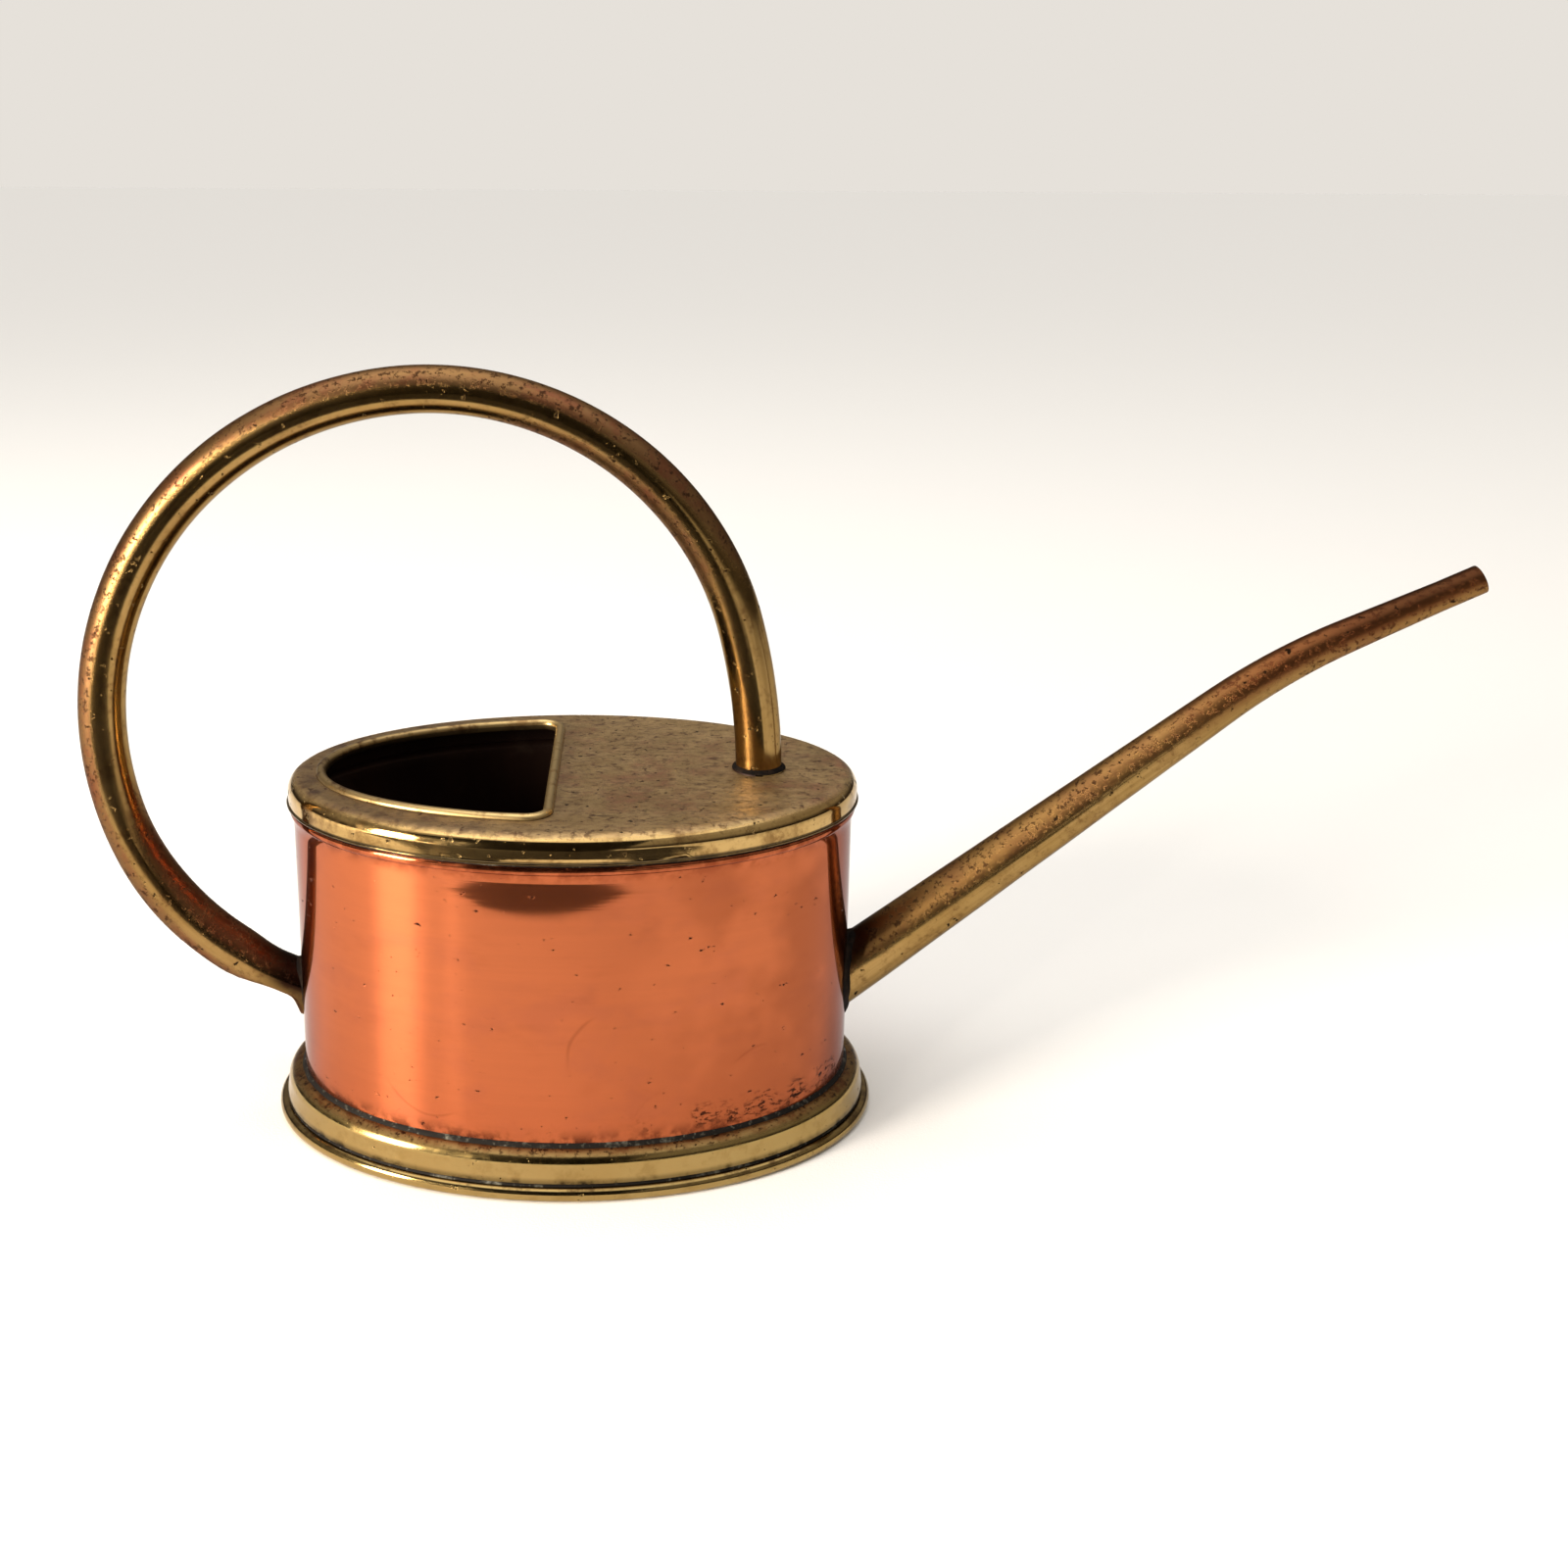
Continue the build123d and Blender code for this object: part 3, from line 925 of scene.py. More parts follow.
def edge_distance(point, loop):
    """Distance from a flat point to a closed line."""
    best = 1.0
    for i, start in enumerate(loop):
        end = loop[(i + 1) % len(loop)]
        nearest, share = geometry.intersect_point_line(point, start, end)
        nearest = start if share < 0 else end if share > 1 else nearest
        best = min(best, hypot(point.x - nearest.x, point.y - nearest.y))
    return best


def is_inside(point, loop):
    """Whether a flat point lies inside a closed line."""
    inside = False
    for i, start in enumerate(loop):
        end = loop[(i + 1) % len(loop)]
        if (start.y > point.y) != (end.y > point.y):
            if point.x < start.x + (end.x - start.x) * (point.y - start.y) / (end.y - start.y):
                inside = not inside
    return inside


def pierced_sheet(mesh_name, edge, holes, height, wander):
    """A flat triangulated sheet inside an edge and outside its holes, with a little unevenness."""
    loops = [edge, *holes]
    points = [p for loop in loops for p in loop]
    borders = []
    start = 0
    for loop in loops:
        borders += [(start + i, start + (i + 1) % len(loop)) for i in range(len(loop))]
        start += len(loop)
    rise = PLATE_GRID * sqrt(3) / 2
    free = []
    for row in range(int(2 * BODY_WIDTH / rise)):
        y = -BODY_WIDTH + rise * row
        for column in range(int(2 * BODY_LENGTH / PLATE_GRID)):
            spot = Vector((-BODY_LENGTH + PLATE_GRID * (column + 0.5 * (row % 2)), y))
            if is_inside(spot, edge) and not any(is_inside(spot, hole) for hole in holes):
                gap = min(edge_distance(spot, loop) for loop in loops)
                if gap > 0.6 * PLATE_GRID:
                    free.append((spot, gap))
    points += [spot for spot, gap in free]
    flat, _, faces, *_ = geometry.delaunay_2d_cdt(points, borders, [], 0, 1e-7)
    fade = {tuple(round(c, 7) for c in spot): smooth(0, 9 * MM, gap) for spot, gap in free}
    raised = []
    for spot in flat:
        share = fade.get(tuple(round(c, 7) for c in spot), 0.0)
        place = Vector((*spot, 0))
        drop = share * wander * swing(place, *TOP_WAVES)
        raised.append(Vector((spot.x, spot.y, height + drop)))
    kept = []
    for face in faces:
        middle = sum((flat[i] for i in face), Vector((0, 0))) / len(face)
        if is_inside(middle, edge) and not any(is_inside(middle, hole) for hole in holes):
            kept.append(face)
    mesh = bpy.data.meshes.new(mesh_name)
    mesh.from_pydata(raised, [], kept)
    return mesh


def lifted(loop, height):
    """A flat loop raised to a height."""
    return [Vector((p.x, p.y, height)) for p in loop]


def round_loop(radius, count=72):
    """A circle round the handle's hole."""
    return [
        Vector((handle_x + radius * cos(2 * pi * i / count), radius * sin(2 * pi * i / count)))
        for i in range(count)
    ]


class WATERINGCAN_OT_cover(bpy.types.Operator):
    """Build the pressed brass cover with its shoulder, skirt, opening and handle hole"""

    bl_idname = "wateringcan.cover"
    bl_label = "Cover"

    def execute(self, context):
        ceiling = cover_top - BRASS_SHEET
        round_low = cover_top - COVER_ROUND
        inner_round = COVER_ROUND - BRASS_SHEET
        lip_grow = COVER_OUT + LIP_OUT
        profile = [(COVER_OUT, COVER_ROUND, cover_top)]
        profile += arc_profile(COVER_OUT, 0, round_low, COVER_ROUND, COVER_ROUND, 84, 0, 14)
        lip_middle = cover_low.z + LIP_HEIGHT / 2
        lip_top = cover_low.z + LIP_HEIGHT
        profile += [(COVER_OUT, 0, (round_low + lip_top) / 2), (COVER_OUT, 0, lip_top)]
        profile += arc_profile(lip_grow, 0, lip_middle, LIP_OUT, LIP_HEIGHT / 2, 80, -80, 8)
        profile += [(COVER_OUT, 0.2 * BRASS_SHEET, cover_low.z), (COVER_OUT, BRASS_SHEET, cover_low.z)]
        profile += arc_profile(COVER_OUT, BRASS_SHEET, round_low, inner_round, inner_round, 0, 84, 8)
        profile += [(COVER_OUT, COVER_ROUND, ceiling)]
        rings = oval_rings(profile)
        edge = [Vector((p.x, p.y)) for p in rings[0]]
        opening = opening_outline(RIM_WIDTH / 2)
        collar = round_loop(HANDLE_RADIUS + COLLAR_WIDTH)
        hole_radius = HANDLE_RADIUS + HANDLE_GAP
        collar_places = [
            (HANDLE_RADIUS + COLLAR_WIDTH, cover_top),
            (HANDLE_RADIUS + COLLAR_WIDTH - 0.1 * MM, cover_top + 0.35 * COLLAR_HEIGHT),
            (HANDLE_RADIUS + COLLAR_WIDTH - 0.3 * MM, cover_top + 0.8 * COLLAR_HEIGHT),
            (HANDLE_RADIUS + COLLAR_WIDTH / 2, cover_top + COLLAR_HEIGHT),
            (hole_radius, cover_top + 0.85 * COLLAR_HEIGHT),
            (hole_radius, ceiling),
        ]
        collar_rings = [lifted(round_loop(radius), height) for radius, height in collar_places]
        mesh = join_meshes(
            "brass_cover",
            [
                skin("shoulder", rings, closed_profile=False),
                pierced_sheet("top", edge, [opening, collar], cover_top, TOP_WANDER),
                pierced_sheet("underside", edge, [opening, round_loop(hole_radius)], ceiling, 0.0),
                skin("cut", [lifted(opening, cover_top), lifted(opening, ceiling)], closed_profile=False),
                skin("collar", collar_rings, closed_profile=False),
            ],
        )

        def choose(centre, normal):
            under = normal.z < -0.5 and centre.z > cover_low.z + BRASS_SHEET
            facing_in = normal.x * centre.x + normal.y * centre.y < -0.02 * centre.length
            inward = centre.z > cover_low.z + 0.5 * MM and facing_in
            return 1 if under or inward else 0

        finishes = finishes_of("cover", "inside")
        place_piece("brass_cover", mesh, ["top_cover"], finishes, choose)
        return {"FINISHED"}


class WATERINGCAN_OT_opening_edge(bpy.types.Operator):
    """Build the rounded brass edge of the filling opening"""

    bl_idname = "wateringcan.opening_edge"
    bl_label = "Opening Edge"

    def execute(self, context):
        middle = opening_outline(0.0)
        count = len(middle)
        outs = []
        for i in range(count):
            run = middle[(i + 1) % count] - middle[i - 1]
            outs.append(Vector((run.y, -run.x)).normalized())
        half = RIM_WIDTH / 2
        shoulder = rim_high.z - half
        profile = [(half, rim_low.z), (half, cover_top - 0.2 * MM)]
        for i in range(13):
            turn = radians(180 * i / 12)
            profile.append((half * cos(turn), shoulder + half * sin(turn)))
        profile += [(-half, rim_low.z + 0.5 * MM), (-half + 0.4 * MM, rim_low.z)]
        profile += [(half - 0.4 * MM, rim_low.z)]
        rings = []
        for out, height in profile:
            ring = []
            for i, point in enumerate(middle):
                spot = Vector((*point, height))
                lift = 0.08 * MM * wavy(spot, 14 * MM, 4.4) * smooth(rim_low.z, rim_high.z, height)
                ring.append(Vector((*(point + outs[i] * out), height + lift)))
            rings.append(ring)
        mesh = skin("opening_edge", rings)
        place_piece("opening_edge", mesh, ["opening_rim"], finishes_of("rim"))
        return {"FINISHED"}


# ---- base --------------------------------------------------------------------------------------
BASE_SHEET = 1.2 * MM
SHOULDER_OUT = 5.4 * MM
SHOULDER_ROUND = 4.2 * MM
FLANGE_WIDTH = 4.4 * MM
PANEL_UNDER = 1.4 * MM


class WATERINGCAN_OT_base(bpy.types.Operator):
    """Build the base moulding and the bottom plate with its rolled edge"""

    bl_idname = "wateringcan.base"
    bl_label = "Base"

    def execute(self, context):
        bend = band_high.z - SHOULDER_ROUND
        profile = [
            (BAND_OUT, 0.35 * MM, band_low.z),
            (BAND_OUT, 0.05 * MM, band_low.z + 0.25 * MM),
            (BAND_OUT, 0, band_low.z + 0.6 * MM),
            ((BAND_OUT + SHOULDER_OUT) / 2, 0, (band_low.z + bend) / 2),
        ]
        profile += arc_profile(SHOULDER_OUT, 0, bend, SHOULDER_ROUND, SHOULDER_ROUND, 0, 90, 12)
        profile += [(0.0, 0.0, band_high.z), (0.0, 0.0, band_high.z - BASE_SHEET)]
        inner_round = SHOULDER_ROUND - BASE_SHEET
        profile += arc_profile(SHOULDER_OUT, BASE_SHEET, bend, inner_round, inner_round, 90, 0, 5)
        profile += [(BAND_OUT, BASE_SHEET, band_low.z)]
        rings = oval_rings(profile)
        for ring in rings:
            for i, point in enumerate(ring):
                point += oval_outward(2 * pi * i / AROUND) * (0.05 * MM * wavy(point, 35 * MM, 9.1))
        mesh = skin("base_moulding", rings)
        place_piece("base_moulding", mesh, ["base_band"], finishes_of("base"))

        half = plate_high.z / 2
        panel_top = PANEL_UNDER + BASE_SHEET
        profile = [(FLANGE_OUT, FLANGE_WIDTH + 1 * MM, PANEL_UNDER), (FLANGE_OUT, FLANGE_WIDTH, PANEL_UNDER)]
        profile += [(FLANGE_OUT, FLANGE_WIDTH, 0.4 * MM), (FLANGE_OUT, FLANGE_WIDTH - 0.4 * MM, 0.0)]
        profile += arc_profile(FLANGE_OUT, 0, half, 0.9 * half, half, -90, 90, 16)
        profile += [
            (FLANGE_OUT, FLANGE_WIDTH - 0.3 * MM, plate_high.z),
            (FLANGE_OUT, FLANGE_WIDTH, plate_high.z - 0.3 * MM),
            (FLANGE_OUT, FLANGE_WIDTH, panel_top),
            (FLANGE_OUT, FLANGE_WIDTH + 1 * MM, panel_top),
        ]
        mesh = skin("bottom_plate", oval_rings(profile), closed_profile=False)
        fill_ends(mesh, AROUND)

        def choose(centre, normal):
            return 1 if normal.z > 0.5 and abs(centre.z - panel_top) < 0.2 * MM else 0

        finishes = finishes_of("base", "inside")
        place_piece("bottom_plate", mesh, ["base_plate"], finishes, choose)
        return {"FINISHED"}


# ---- bent tubes --------------------------------------------------------------------------------
HANDLE_LEAN = radians(90.5)
HANDLE_STRAIGHT = 6.0 * MM
HANDLE_BENDS = ((188.0 * MM, 14.2), (94.2 * MM, 82.75), (102.2 * MM, 97.8), (81.8 * MM, 52.2))
HANDLE_WALL = 1.0 * MM
HANDLE_END_UNDER = 7.2 * MM     # how far the tube reaches down inside the cover
HANDLE_LIP_START = 6.4 * MM     # how far off the copper the lip's own curve begins
LIP_CURVE = (                   # distance off the copper and share of the drop, down the lip
    (5.0 * MM, 0.03),
    (3.9 * MM, 0.14),
    (2.9 * MM, 0.36),
    (2.1 * MM, 0.64),
    (1.5 * MM, 0.88),
    (1.1 * MM, 1.0),
    (0.0, 1.0),
)
SPOUT_ANGLE = radians(37.8)
SPOUT_RUN = 141.2 * MM
SPOUT_BEND = (186.0 * MM, -13.1)
SPOUT_TIP_RUN = 30.2 * MM
SPOUT_TIP = 12.0 * MM
SPOUT_ROOT_RADIUS = 9.3 * MM
SPOUT_TAPER = 0.0229
SPOUT_WALL = 0.8 * MM
SPOUT_HEIGHT = 42.7 * MM
SPOUT_FIRST_RING = 8.5 * MM     # along its axis, clear of the cut to the copper
TUBE_STEP = 2.0 * MM
TUBE_POINTS = 48
TUBE_TURNS = [2 * pi * i / TUBE_POINTS for i in range(TUBE_POINTS)]
TUBE_WANDER = 0.05 * MM         # how far drawn tube is from round
ACROSS = Vector((0, 1, 0))


def spout_start():
    """Where the spout's axis meets the end of the body."""
    return Vector((BODY_LENGTH, 0, SPOUT_HEIGHT))


def walk(start, heading, moves):
    """Stations (point, direction, distance) along straight runs and arcs in the plane of the handle.

    A move is (length, 0) for a straight run or (radius, turn in degrees) for an arc.
    """
    point = start.copy()
    covered = 0.0
    stations = [(point.copy(), Vector((cos(heading), 0, sin(heading))), covered)]
    for size, turn in moves:
        length = size if not turn else size * radians(abs(turn))
        steps = max(2, round(length / TUBE_STEP))
        for i in range(steps):
            bend = radians(turn) / steps
            heading += bend / 2
            chord = length / steps if not turn else 2 * size * sin(abs(bend) / 2)
            point += chord * Vector((cos(heading), 0, sin(heading)))
            heading += bend / 2
            covered += length / steps
            stations.append((point.copy(), Vector((cos(heading), 0, sin(heading))), covered))
    return stations


def inward_normal(direction):
    """The normal in the handle's plane, to the left of the direction."""
    return Vector((-direction.z, 0, direction.x))


def off_axis(direction, turn):
    """Unit vector out of a tube, at a turn round it from its inward normal."""
    return inward_normal(direction) * cos(turn) + ACROSS * sin(turn)


def on_wall(point, direction):
    """Where the line through a point meets the copper."""
    side = -1 if point.x < 0 else 1
    x = side * BODY_LENGTH * sqrt(1 - (point.y / BODY_WIDTH) ** 2)
    return point + direction * ((x - point.x) / direction.x)


def handle_stations():
    """The hoop from the cover round to just before the copper."""
    start = Vector((handle_x, 0, cover_top - HANDLE_END_UNDER))
    stations = walk(start, HANDLE_LEAN, [(HANDLE_STRAIGHT, 0), *HANDLE_BENDS, (5 * MM, 0)])
    end = -BODY_LENGTH - HANDLE_LIP_START
    return [s for s in stations if s[0].z > seam_high.z or s[0].x < end]


def pinched(turn, pinch, bulge=0.0, close=1.0):
    """Offsets (inward, sideways) of a tube's skin, squeezed on its way to the copper.

    It is flattened underneath by the pinch, stands taller by the bulge, then closes up at its end.
    """
    inward = HANDLE_RADIUS * cos(turn) * (1 + 0.10 * bulge)
    floor = -HANDLE_RADIUS * (1 + 0.10 * bulge - 0.20 * pinch - 0.34 * close)
    inward *= 1 - 0.14 * close if inward > 0 else 1
    return max(inward, floor), HANDLE_RADIUS * sin(turn) * (1 + 0.05 * pinch)


class WATERINGCAN_OT_handle(bpy.types.Operator):
    """Build the bent brass hoop handle with its pinched end and turned-down lip"""

    bl_idname = "wateringcan.handle"
    bl_label = "Handle"

    def execute(self, context):
        lip_drop = context.scene.can_sizes.lip_drop
        stations = handle_stations()
        total = stations[-1][2]
        rings = []
        bore = HANDLE_RADIUS - HANDLE_WALL
        first_point, first_direction, _ = stations[0]
        for depth, radius in ((12 * MM, bore), (0.4 * MM, bore), (0.0, bore + 0.2 * MM)):
            centre = first_point + first_direction * depth
            rings.append([centre + off_axis(first_direction, t) * radius for t in TUBE_TURNS])
        for point, direction, covered in stations:
            left = inward_normal(direction)
            pinch = smooth(total - 52 * MM, total - 20 * MM, covered)
            close = smooth(total - 16 * MM, total, covered)
            bulge = smooth(total - 70 * MM, total - 36 * MM, covered) * (1 - close)
            ring = []
            for t in TUBE_TURNS:
                inward, sideways = pinched(t, pinch, bulge, close)
                spot = point + left * inward + ACROSS * sideways
                spot += off_axis(direction, t) * (TUBE_WANDER * wavy(spot, 22 * MM, 1.3))
                ring.append(spot)
            rings.append(ring)
        point, direction, _ = stations[-1]
        left = inward_normal(direction)
        for gap, fall in LIP_CURVE:
            ring = []
            for t in TUBE_TURNS:
                inward, sideways = pinched(t, 1.0)
                spot = on_wall(point + left * inward + ACROSS * sideways, direction)
                spot -= direction * (gap / direction.x)
                below = smooth(0.30, 0.85, -cos(t))
                spot.z -= (lip_drop + 0.34 * HANDLE_RADIUS) * below * fall
                ring.append(spot)
            rings.append(ring)
        mesh = skin("hoop_handle", rings, closed_profile=False)
        fill_ends(mesh, TUBE_POINTS)

        def choose(centre, normal):
            near_end = centre.z < first_point.z + 13 * MM and centre.x > 0
            from_middle = hypot(centre.x - handle_x, centre.y)
            return 1 if near_end and from_middle < bore + 0.3 * MM else 0

        finishes = finishes_of("handle", "inside")
        place_piece("hoop_handle", mesh, ["handle_tube"], finishes, choose)
        return {"FINISHED"}


def spout_radius(covered):
    """Outer radius at a distance along the spout, parallel over its tip."""
    last = SPOUT_RUN + SPOUT_BEND[0] * radians(-SPOUT_BEND[1]) + SPOUT_TIP_RUN
    return SPOUT_ROOT_RADIUS - SPOUT_TAPER * min(covered, last)


def spout_stations():
    """The spout's axis from just off the copper to its tip."""
    moves = [(SPOUT_RUN, 0), SPOUT_BEND, (SPOUT_TIP_RUN, 0), (SPOUT_TIP, 0)]
    return [s for s in walk(spout_start(), SPOUT_ANGLE, moves) if s[2] > SPOUT_FIRST_RING]


class WATERINGCAN_OT_spout(bpy.types.Operator):
    """Build the tapered, bent brass spout, open from end to end"""

    bl_idname = "wateringcan.spout"
    bl_label = "Spout"

    def execute(self, context):
        stations = spout_stations()
        root_direction = stations[0][1]

        def ring_at(point, direction, radius, wander=0.0):
            ring = []
            for t in TUBE_TURNS:
                out = off_axis(direction, t)
                spot = point + out * radius
                ring.append(spot + out * (wander * wavy(spot, 20 * MM, 6.2)))
            return ring

        def root_ring(inset):
            ring = ring_at(spout_start(), root_direction, SPOUT_ROOT_RADIUS - inset)
            return [on_wall(spot, root_direction) for spot in ring]

        rings = [root_ring(0.0)]
        rings += [ring_at(p, d, spout_radius(c), TUBE_WANDER) for p, d, c in stations[:-1]]
        tip_point, tip_direction, tip_covered = stations[-1]
        outer = spout_radius(tip_covered)
        bore = outer - SPOUT_WALL
        for back, radius in (
            (0.35 * MM, outer),
            (0.1 * MM, outer - 0.06 * MM),
            (0.0, outer - 0.22 * MM),
            (0.0, bore + 0.15 * MM),
            (0.15 * MM, bore),
        ):
            rings.append(ring_at(tip_point - tip_direction * back, tip_direction, radius))
        rings += [ring_at(p, d, spout_radius(c) - SPOUT_WALL) for p, d, c in reversed(stations[:-1:3])]
        rings.append(root_ring(SPOUT_WALL))
        mesh = skin("spout", rings)

        def choose(centre, normal):
            nearest = min(stations, key=lambda s: (s[0] - centre).length_squared)
            return 1 if (centre - nearest[0]).dot(normal) < -0.3 * MM else 0

        finishes = finishes_of("spout", "inside")
        place_piece("tapered_spout", mesh, ["spout_tube"], finishes, choose)
        return {"FINISHED"}


# ---- solder ------------------------------------------------------------------------------------
BASE_SOLDER_WIDTH = 1.2 * MM
SPOUT_SOLDER_REACH = 2.3 * MM
HANDLE_SOLDER_REACH = 1.5 * MM
FILLET_POINTS = 72
HANDLE_RING = (                 # off the tube and above the cover, in mm
    (0, 0.3),
    (1.2, -0.1),
    (1.0, 0.25),
    (0.55, 0.5),
    (0.2, 0.8),
    (-0.05, 1.1),
    (-0.2, 0.6),
)


def lumpy_ring(name, node_name, profile, lump_size):
    """A solder line round the oval, whose outer points wander and sink in places.

    Its profile is of (grow, inset, height, looseness), and the looseness is the share of the lumps.
    """
    lumps = bpy.context.scene.can_sizes.solder_lumps
    rings = oval_rings([place[:3] for place in profile])
    for ring, (_, _, _, looseness) in zip(rings, profile):
        for i, point in enumerate(ring):
            lump = swing(point, (lump_size, 1.0, 1.9), (lump_size / 2.7, 0.5, 8.8)) - 0.15
            lump *= 0.55 + 0.8 * wavy(point, 9 * lump_size, 5.3)
            out = oval_outward(2 * pi * i / AROUND)
            point += (out + Vector((0, 0, 0.5))) * (lumps * looseness * lump)
    return place_piece(name, skin(name, rings), [node_name], finishes_of("solder"), sharp=60)


def joint_fillet(name, node_name, centre, direction, radius, reach):
    """Solder run in round a tube where it meets the copper: a lumpy ring between the two."""
    rings = [[] for _ in range(6)]
    lumps = bpy.context.scene.can_sizes.solder_lumps
    for i in range(FILLET_POINTS):
        out = off_axis(direction, 2 * pi * i / FILLET_POINTS)
        foot = on_wall(centre + out * radius, direction)
        wall_out = Vector((foot.x / BODY_LENGTH**2, foot.y / BODY_WIDTH**2, 0)).normalized()
        away = (out - wall_out * out.dot(wall_out)).normalized()
        along = direction if direction.dot(wall_out) > 0 else -direction
        swell = reach * (1 + 0.35 * wavy(foot, 5 * MM, 2.2))
        on_copper = on_wall(foot + away * swell, Vector((1, 0, 0)))
        on_tube = foot + along * swell * (0.9 + 0.3 * out.z)
        hollow = 0.42 * swell + lumps * 0.5 * wavy(foot, 3 * MM, 6.1)
        middle = foot + (away + along).normalized() * hollow
        inside = foot - along * 0.5 * MM - wall_out * 0.3 * MM - out * 0.3 * MM
        rings[0].append(inside)
        rings[1].append(on_copper - wall_out * 0.15 * MM)
        rings[2].append(on_copper.lerp(middle, 0.5) - wall_out * 0.02 * MM)
        rings[3].append(middle)
        rings[4].append(on_tube.lerp(middle, 0.5))
        rings[5].append(on_tube - out * 0.15 * MM)
    return place_piece(name, skin(name, rings), [node_name], finishes_of("burnt"), sharp=70)


class WATERINGCAN_OT_solder(bpy.types.Operator):
    """Build the solder lines of the cover, the base, the handle and the spout"""

    bl_idname = "wateringcan.solder"
    bl_label = "Solder"

    def execute(self, context):
        width = BASE_SOLDER_WIDTH
        low = ledge_low.z
        lumpy_ring(
            "base_seam_solder",
            "base_solder",
            [
                (-0.2 * MM, 0, low - 0.2 * MM, 0),
                (width, 0, low - 0.15 * MM, 0.4),
                (0.75 * width, 0, low + 0.35 * width, 1.0),
                (0.35 * width, 0, low + 0.75 * width, 1.0),
                (0.05 * MM, 0, ledge_high.z, 0.4),
                (-0.2 * MM, 0, low + 0.5 * width, 0),
            ],
            4 * MM,
        )
        low, high = groove_low.z, groove_high.z
        middle = (low + high) / 2
        lumpy_ring(
            "groove_solder",
            "plate_solder",
            [
                (4.6 * MM, 0, low - 0.1 * MM, 0),
                (6.0 * MM, 0, low - 0.05 * MM, 0.3),
                (5.8 * MM, 0, middle - 0.1 * MM, 0.9),
                (5.6 * MM, 0, middle + 0.15 * MM, 0.9),
                (5.7 * MM, 0, high + 0.05 * MM, 0.3),
                (4.6 * MM, 0, high + 0.1 * MM, 0),
            ],
            5 * MM,
        )
        lumpy_ring(
            "cover_seam_solder",
            "cover_solder",
            [
                (-0.1 * MM, 0, seam_low.z - 0.1 * MM, 0),
                (0.8 * MM, 0, seam_low.z - 0.05 * MM, 0.3),
                (0.7 * MM, 0, (seam_low.z + seam_high.z) / 2, 0.6),
                (0.8 * MM, 0, seam_high.z + 0.02 * MM, 0.2),
                (-0.1 * MM, 0, seam_high.z + 0.02 * MM, 0),
            ],
            6 * MM,
        )
        along_spout = Vector((cos(SPOUT_ANGLE), 0, sin(SPOUT_ANGLE)))
        for name, node_name, point, direction, radius, reach in (
            (
                "spout_joint_solder",
                "spout_solder",
                spout_start(),
                along_spout,
                SPOUT_ROOT_RADIUS,
                SPOUT_SOLDER_REACH,
            ),
            (
                "handle_joint_solder",
                "handle_foot_solder",
                *handle_stations()[-1][:2],
                0.97 * HANDLE_RADIUS,
                HANDLE_SOLDER_REACH,
            ),
        ):
            joint_fillet(name, node_name, point, direction, radius, reach)

        rings = []
        for radius, height in HANDLE_RING:
            ring = []
            for spot in round_loop(HANDLE_RADIUS + radius * MM, 64):
                lump = 0.22 * MM * wavy(Vector((*spot, 0)), 3.5 * MM, 3.7) * (1 if 0 < height < 1 else 0.2)
                ring.append(Vector((spot.x, spot.y, ring_low.z - 0.1 * MM + height * MM + lump)))
            rings.append(ring)
        mesh = skin("handle_ring_solder", rings)
        nodes = ["handle_top_solder"]
        place_piece("handle_ring_solder", mesh, nodes, finishes_of("burnt"), sharp=70)
        return {"FINISHED"}


# ---- stage -------------------------------------------------------------------------------------
CAMERA_PLACE = Vector((0.0212, -0.5061, 0.2837))
CAMERA_TURN = radians(0.78)
CAMERA_DOWN = radians(14.42)
CAMERA_ROLL = radians(-0.29)
CAMERA_LENS = 40.15
CAMERA_SHIFT = (0.075, -0.1)
# Two black cards in front of the can stand for the dark studio that its polished metal reflects.
CARD_EDGE = -0.246              # where the black cards begin in front of the can
CARD_BACK = -0.80               # where they turn upright
CARD_SIDES = (-0.50, 0.24)
CARD_HEIGHT = 1.1
CARD_TURN = radians(-6)
CARD_LIFT = 0.001
FLOOR_REACH = 40.0
PALE = "#E6E1DA"
LAMP_AIM = (0.0, 0.0, 0.06)
LAMPS = (                       # name, place, width, height, watts, tint
    ("window_softbox", (-1.37, -0.93, 0.44), 0.46, 0.80, 56.0, "#FFF4E4"),
    ("strip_softbox", (-0.97, -1.35, 0.44), 0.05, 0.74, 6.0, "#FFF4E4"),
    ("overhead_softbox", (-0.45, 0.1, 1.5), 1.6, 1.2, 6.0, "#FFFDF8"),
)
SKY_STRENGTH = 1.3
SKY_SPREAD = radians(70)


def softbox(name, place, width, height, power, tint):
    """A soft rectangular lamp at a place, turned to the can. It isn't seen itself."""
    lamp = bpy.data.lights.new(name, "AREA")
    lamp.shape = "RECTANGLE"
    lamp.size = width
    lamp.size_y = height
    lamp.energy = power
    lamp.color = colour(tint)[:3]
    holder = bpy.data.objects.new(name, lamp)
    holder.location = place
    holder.rotation_euler = (Vector(LAMP_AIM) - Vector(place)).to_track_quat("-Z", "Y").to_euler()
    holder.visible_camera = False
    bpy.context.scene.collection.objects.link(holder)


def sheet(name, corners, finish):
    """A flat sheet of the stage."""
    mesh = bpy.data.meshes.new(name)
    mesh.from_pydata(corners, [], [tuple(range(len(corners)))])
    mesh.materials.append(finish)
    laid = bpy.data.objects.new(name, mesh)
    bpy.context.scene.collection.objects.link(laid)
    return laid


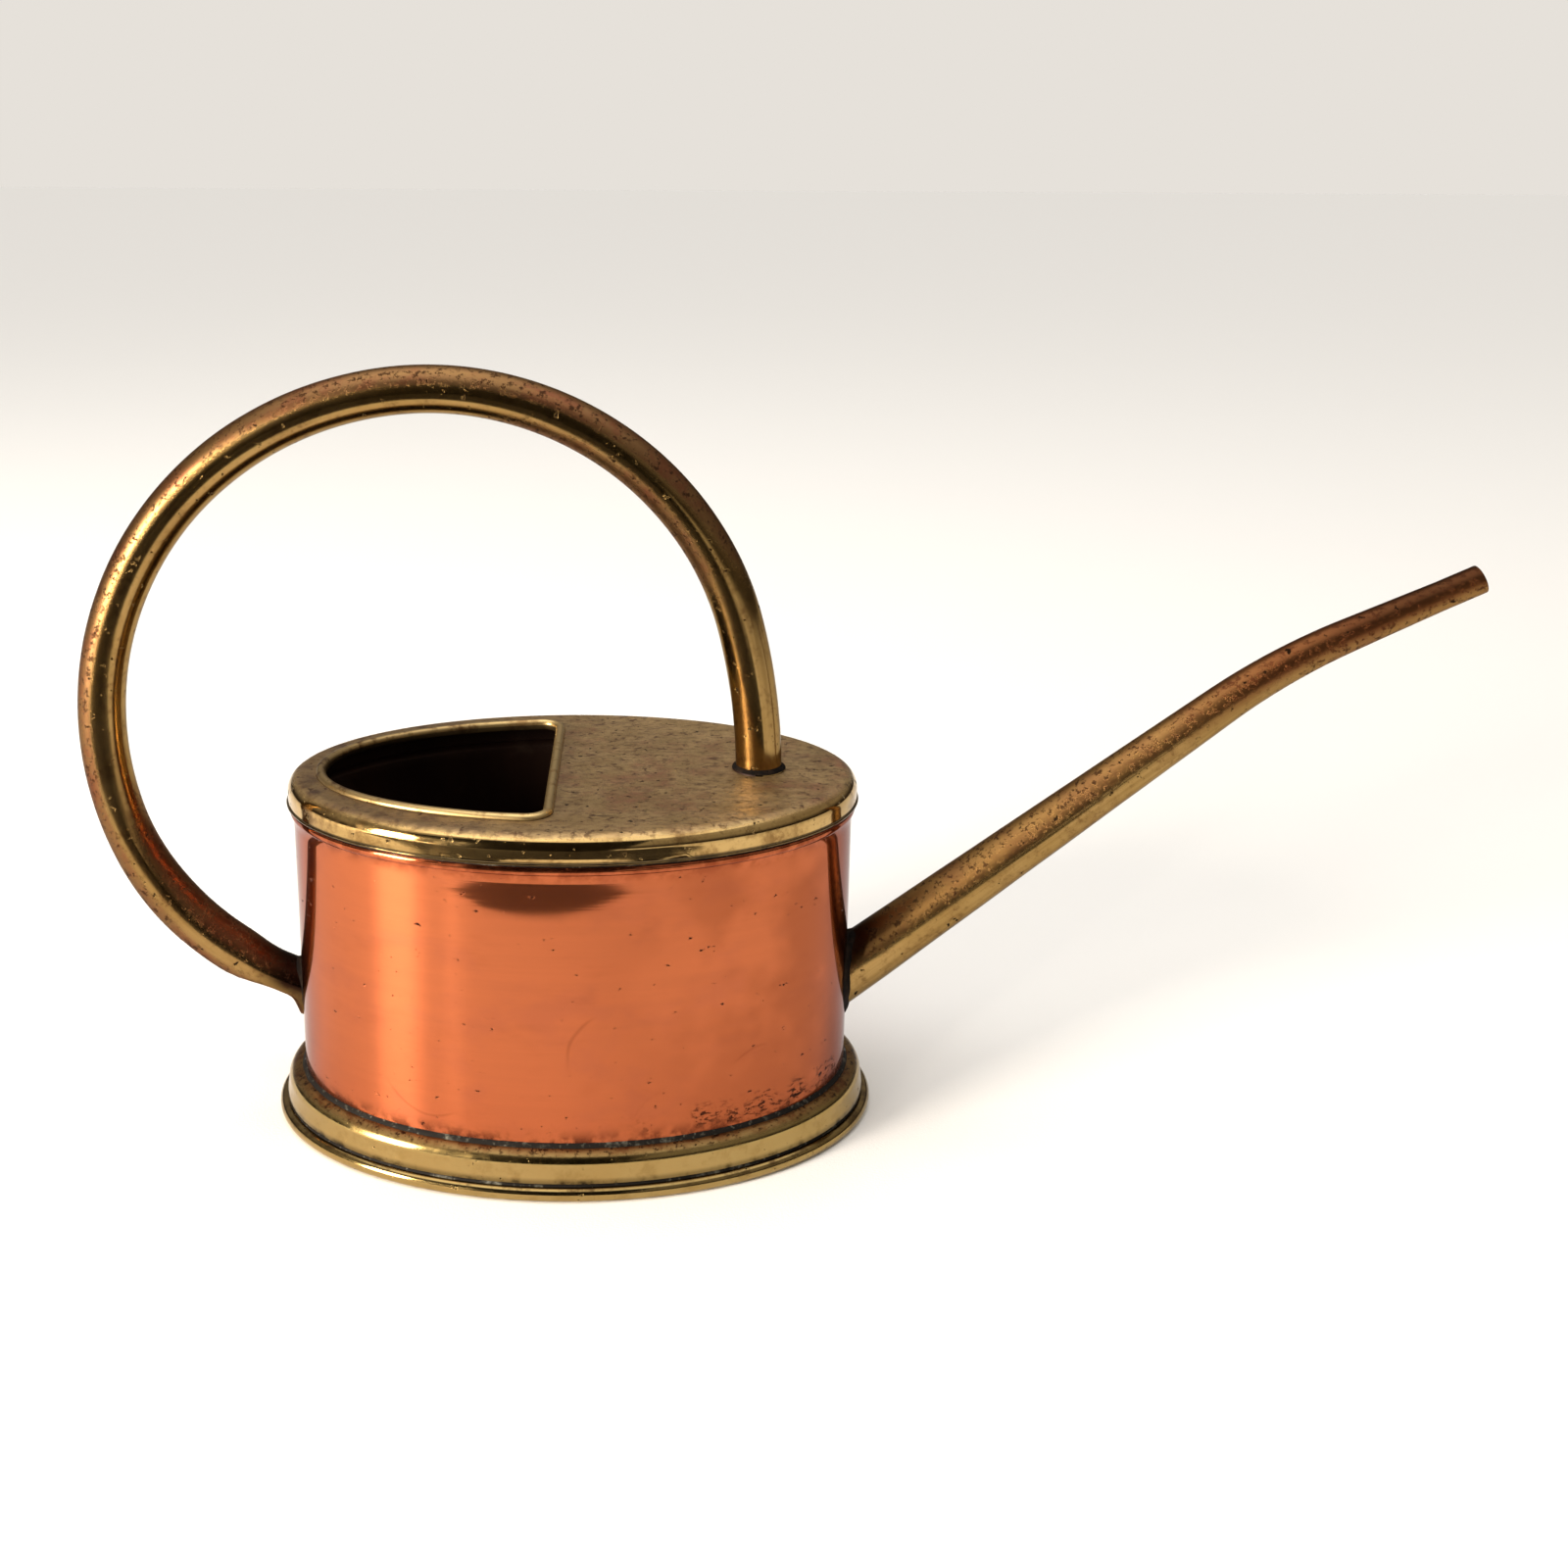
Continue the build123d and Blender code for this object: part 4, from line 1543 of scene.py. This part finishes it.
def studio_air(scene):
    """Pale surroundings as seen directly, and a dim room with a bright ceiling as the metal sees it."""
    world = bpy.data.worlds.new("studio")
    world.use_nodes = True
    tree = world.node_tree
    tree.nodes.clear()
    where = tree.nodes.new("ShaderNodeTexCoord").outputs["Generated"]
    split = tree.nodes.new("ShaderNodeSeparateXYZ")
    tree.links.new(where, split.inputs[0])
    walls = zone(tree, (split.outputs["Z"], 0.08, 0.42))
    overhead = zone(tree, (split.outputs["Z"], 0.50, 0.95))
    room = overlaid(tree, colour("#3A332B"), [(walls, colour("#A69F95")), (overhead, colour("#D0CBC4"))])
    seen = tree.nodes.new("ShaderNodeLightPath").outputs["Is Camera Ray"]
    air = node(tree, "ShaderNodeMix", {0: seen, 6: room, 7: colour(PALE)}, data_type="RGBA")
    backdrop = node(tree, "ShaderNodeBackground", {"Color": air, "Strength": 1.0})
    node(tree, "ShaderNodeOutputWorld", {"Surface": backdrop})
    scene.world = world


class WATERINGCAN_OT_stage(bpy.types.Operator):
    """Build the pale floor, the soft lamps and the camera"""

    bl_idname = "wateringcan.stage"
    bl_label = "Stage"

    def execute(self, context):
        scene = context.scene
        paper, tree = new_finish("matt white paper")
        fibre = patches(tree, places(tree)[0], 0.8 * MM, 0.3, 0.7, 4.0)
        shade(tree, colour("#F4F3F1"), 0.9, relief(tree, [(fibre, 0.02 * MM)]), metallic=0.0)
        quarters = ((-1, -1), (1, -1), (1, 1), (-1, 1))
        sheet("floor", [(FLOOR_REACH * x, FLOOR_REACH * y, 0) for x, y in quarters], paper)

        card, tree = new_finish("black felt card")
        nap = patches(tree, places(tree)[0], 2 * MM, 0.3, 0.7)
        shade(tree, overlaid(tree, colour("#0E0C0A"), [(nap, colour("#1A1613"))]), 1.0, None, metallic=0.0)
        near = Matrix.Rotation(CARD_TURN, 3, "Z")
        left, right = CARD_SIDES
        for name, front, back, top in (
            ("black_card_lying", CARD_EDGE, CARD_BACK, CARD_LIFT),
            ("black_card_upright", CARD_BACK, CARD_BACK, CARD_HEIGHT),
        ):
            spread = (1.0 + back / CARD_EDGE) / 2
            corners = [(left, front, CARD_LIFT), (right, front, CARD_LIFT)]
            corners += [(spread * right, back, top), (spread * left, back, top)]
            flag = sheet(name, [near @ Vector(corner) for corner in corners], card)
            flag.visible_camera = False
            flag.visible_diffuse = False
            flag.visible_shadow = False

        for lamp in LAMPS:
            softbox(*lamp)
        sun = bpy.data.lights.new("sky_light", "SUN")
        sun.energy = SKY_STRENGTH
        sun.angle = SKY_SPREAD
        holder = bpy.data.objects.new("sky_light", sun)
        holder.visible_camera = False
        scene.collection.objects.link(holder)
        studio_air(scene)

        lens = bpy.data.cameras.new("camera")
        lens.lens = CAMERA_LENS
        lens.sensor_width = 36.0
        lens.shift_x, lens.shift_y = CAMERA_SHIFT
        lens.clip_start = 0.01
        camera = bpy.data.objects.new("camera", lens)
        turn = Matrix.Rotation(-CAMERA_TURN, 4, "Z") @ Matrix.Rotation(pi / 2 - CAMERA_DOWN, 4, "X")
        camera.matrix_world = Matrix.Translation(CAMERA_PLACE) @ turn @ Matrix.Rotation(-CAMERA_ROLL, 4, "Z")
        scene.collection.objects.link(camera)
        scene.camera = camera
        scene.view_settings.view_transform = "Standard"
        return {"FINISHED"}


# ---- panel and registration --------------------------------------------------------------------
OPERATORS = (
    WATERINGCAN_OT_copper_wall,
    WATERINGCAN_OT_cover,
    WATERINGCAN_OT_opening_edge,
    WATERINGCAN_OT_base,
    WATERINGCAN_OT_handle,
    WATERINGCAN_OT_spout,
    WATERINGCAN_OT_solder,
    WATERINGCAN_OT_stage,
)


class WATERINGCAN_PT_panel(bpy.types.Panel):
    """Settings and one button for each group of pieces"""

    bl_idname = "WATERINGCAN_PT_panel"
    bl_label = "Watering Can"
    bl_space_type = "VIEW_3D"
    bl_region_type = "UI"
    bl_category = "Watering Can"

    def draw(self, context):
        column = self.layout.column()
        for group in (context.scene.can_sizes, context.scene.can_finish):
            for key in group.bl_rna.properties.keys():
                if key not in ("rna_type", "name"):
                    column.prop(group, key)
        for operator in OPERATORS:
            column.operator(operator.bl_idname)


CLASSES = (CanSizes, CanFinish, *OPERATORS, WATERINGCAN_PT_panel)


def register():
    for item in CLASSES:
        bpy.utils.register_class(item)
    bpy.types.Scene.can_sizes = PointerProperty(type=CanSizes)
    bpy.types.Scene.can_finish = PointerProperty(type=CanFinish)


def unregister():
    del bpy.types.Scene.can_finish
    del bpy.types.Scene.can_sizes
    for item in reversed(CLASSES):
        bpy.utils.unregister_class(item)


def main():
    register()
    for operator in OPERATORS:
        getattr(bpy.ops.wateringcan, operator.bl_idname.split(".")[1])()


if __name__ == "__main__":
    main()
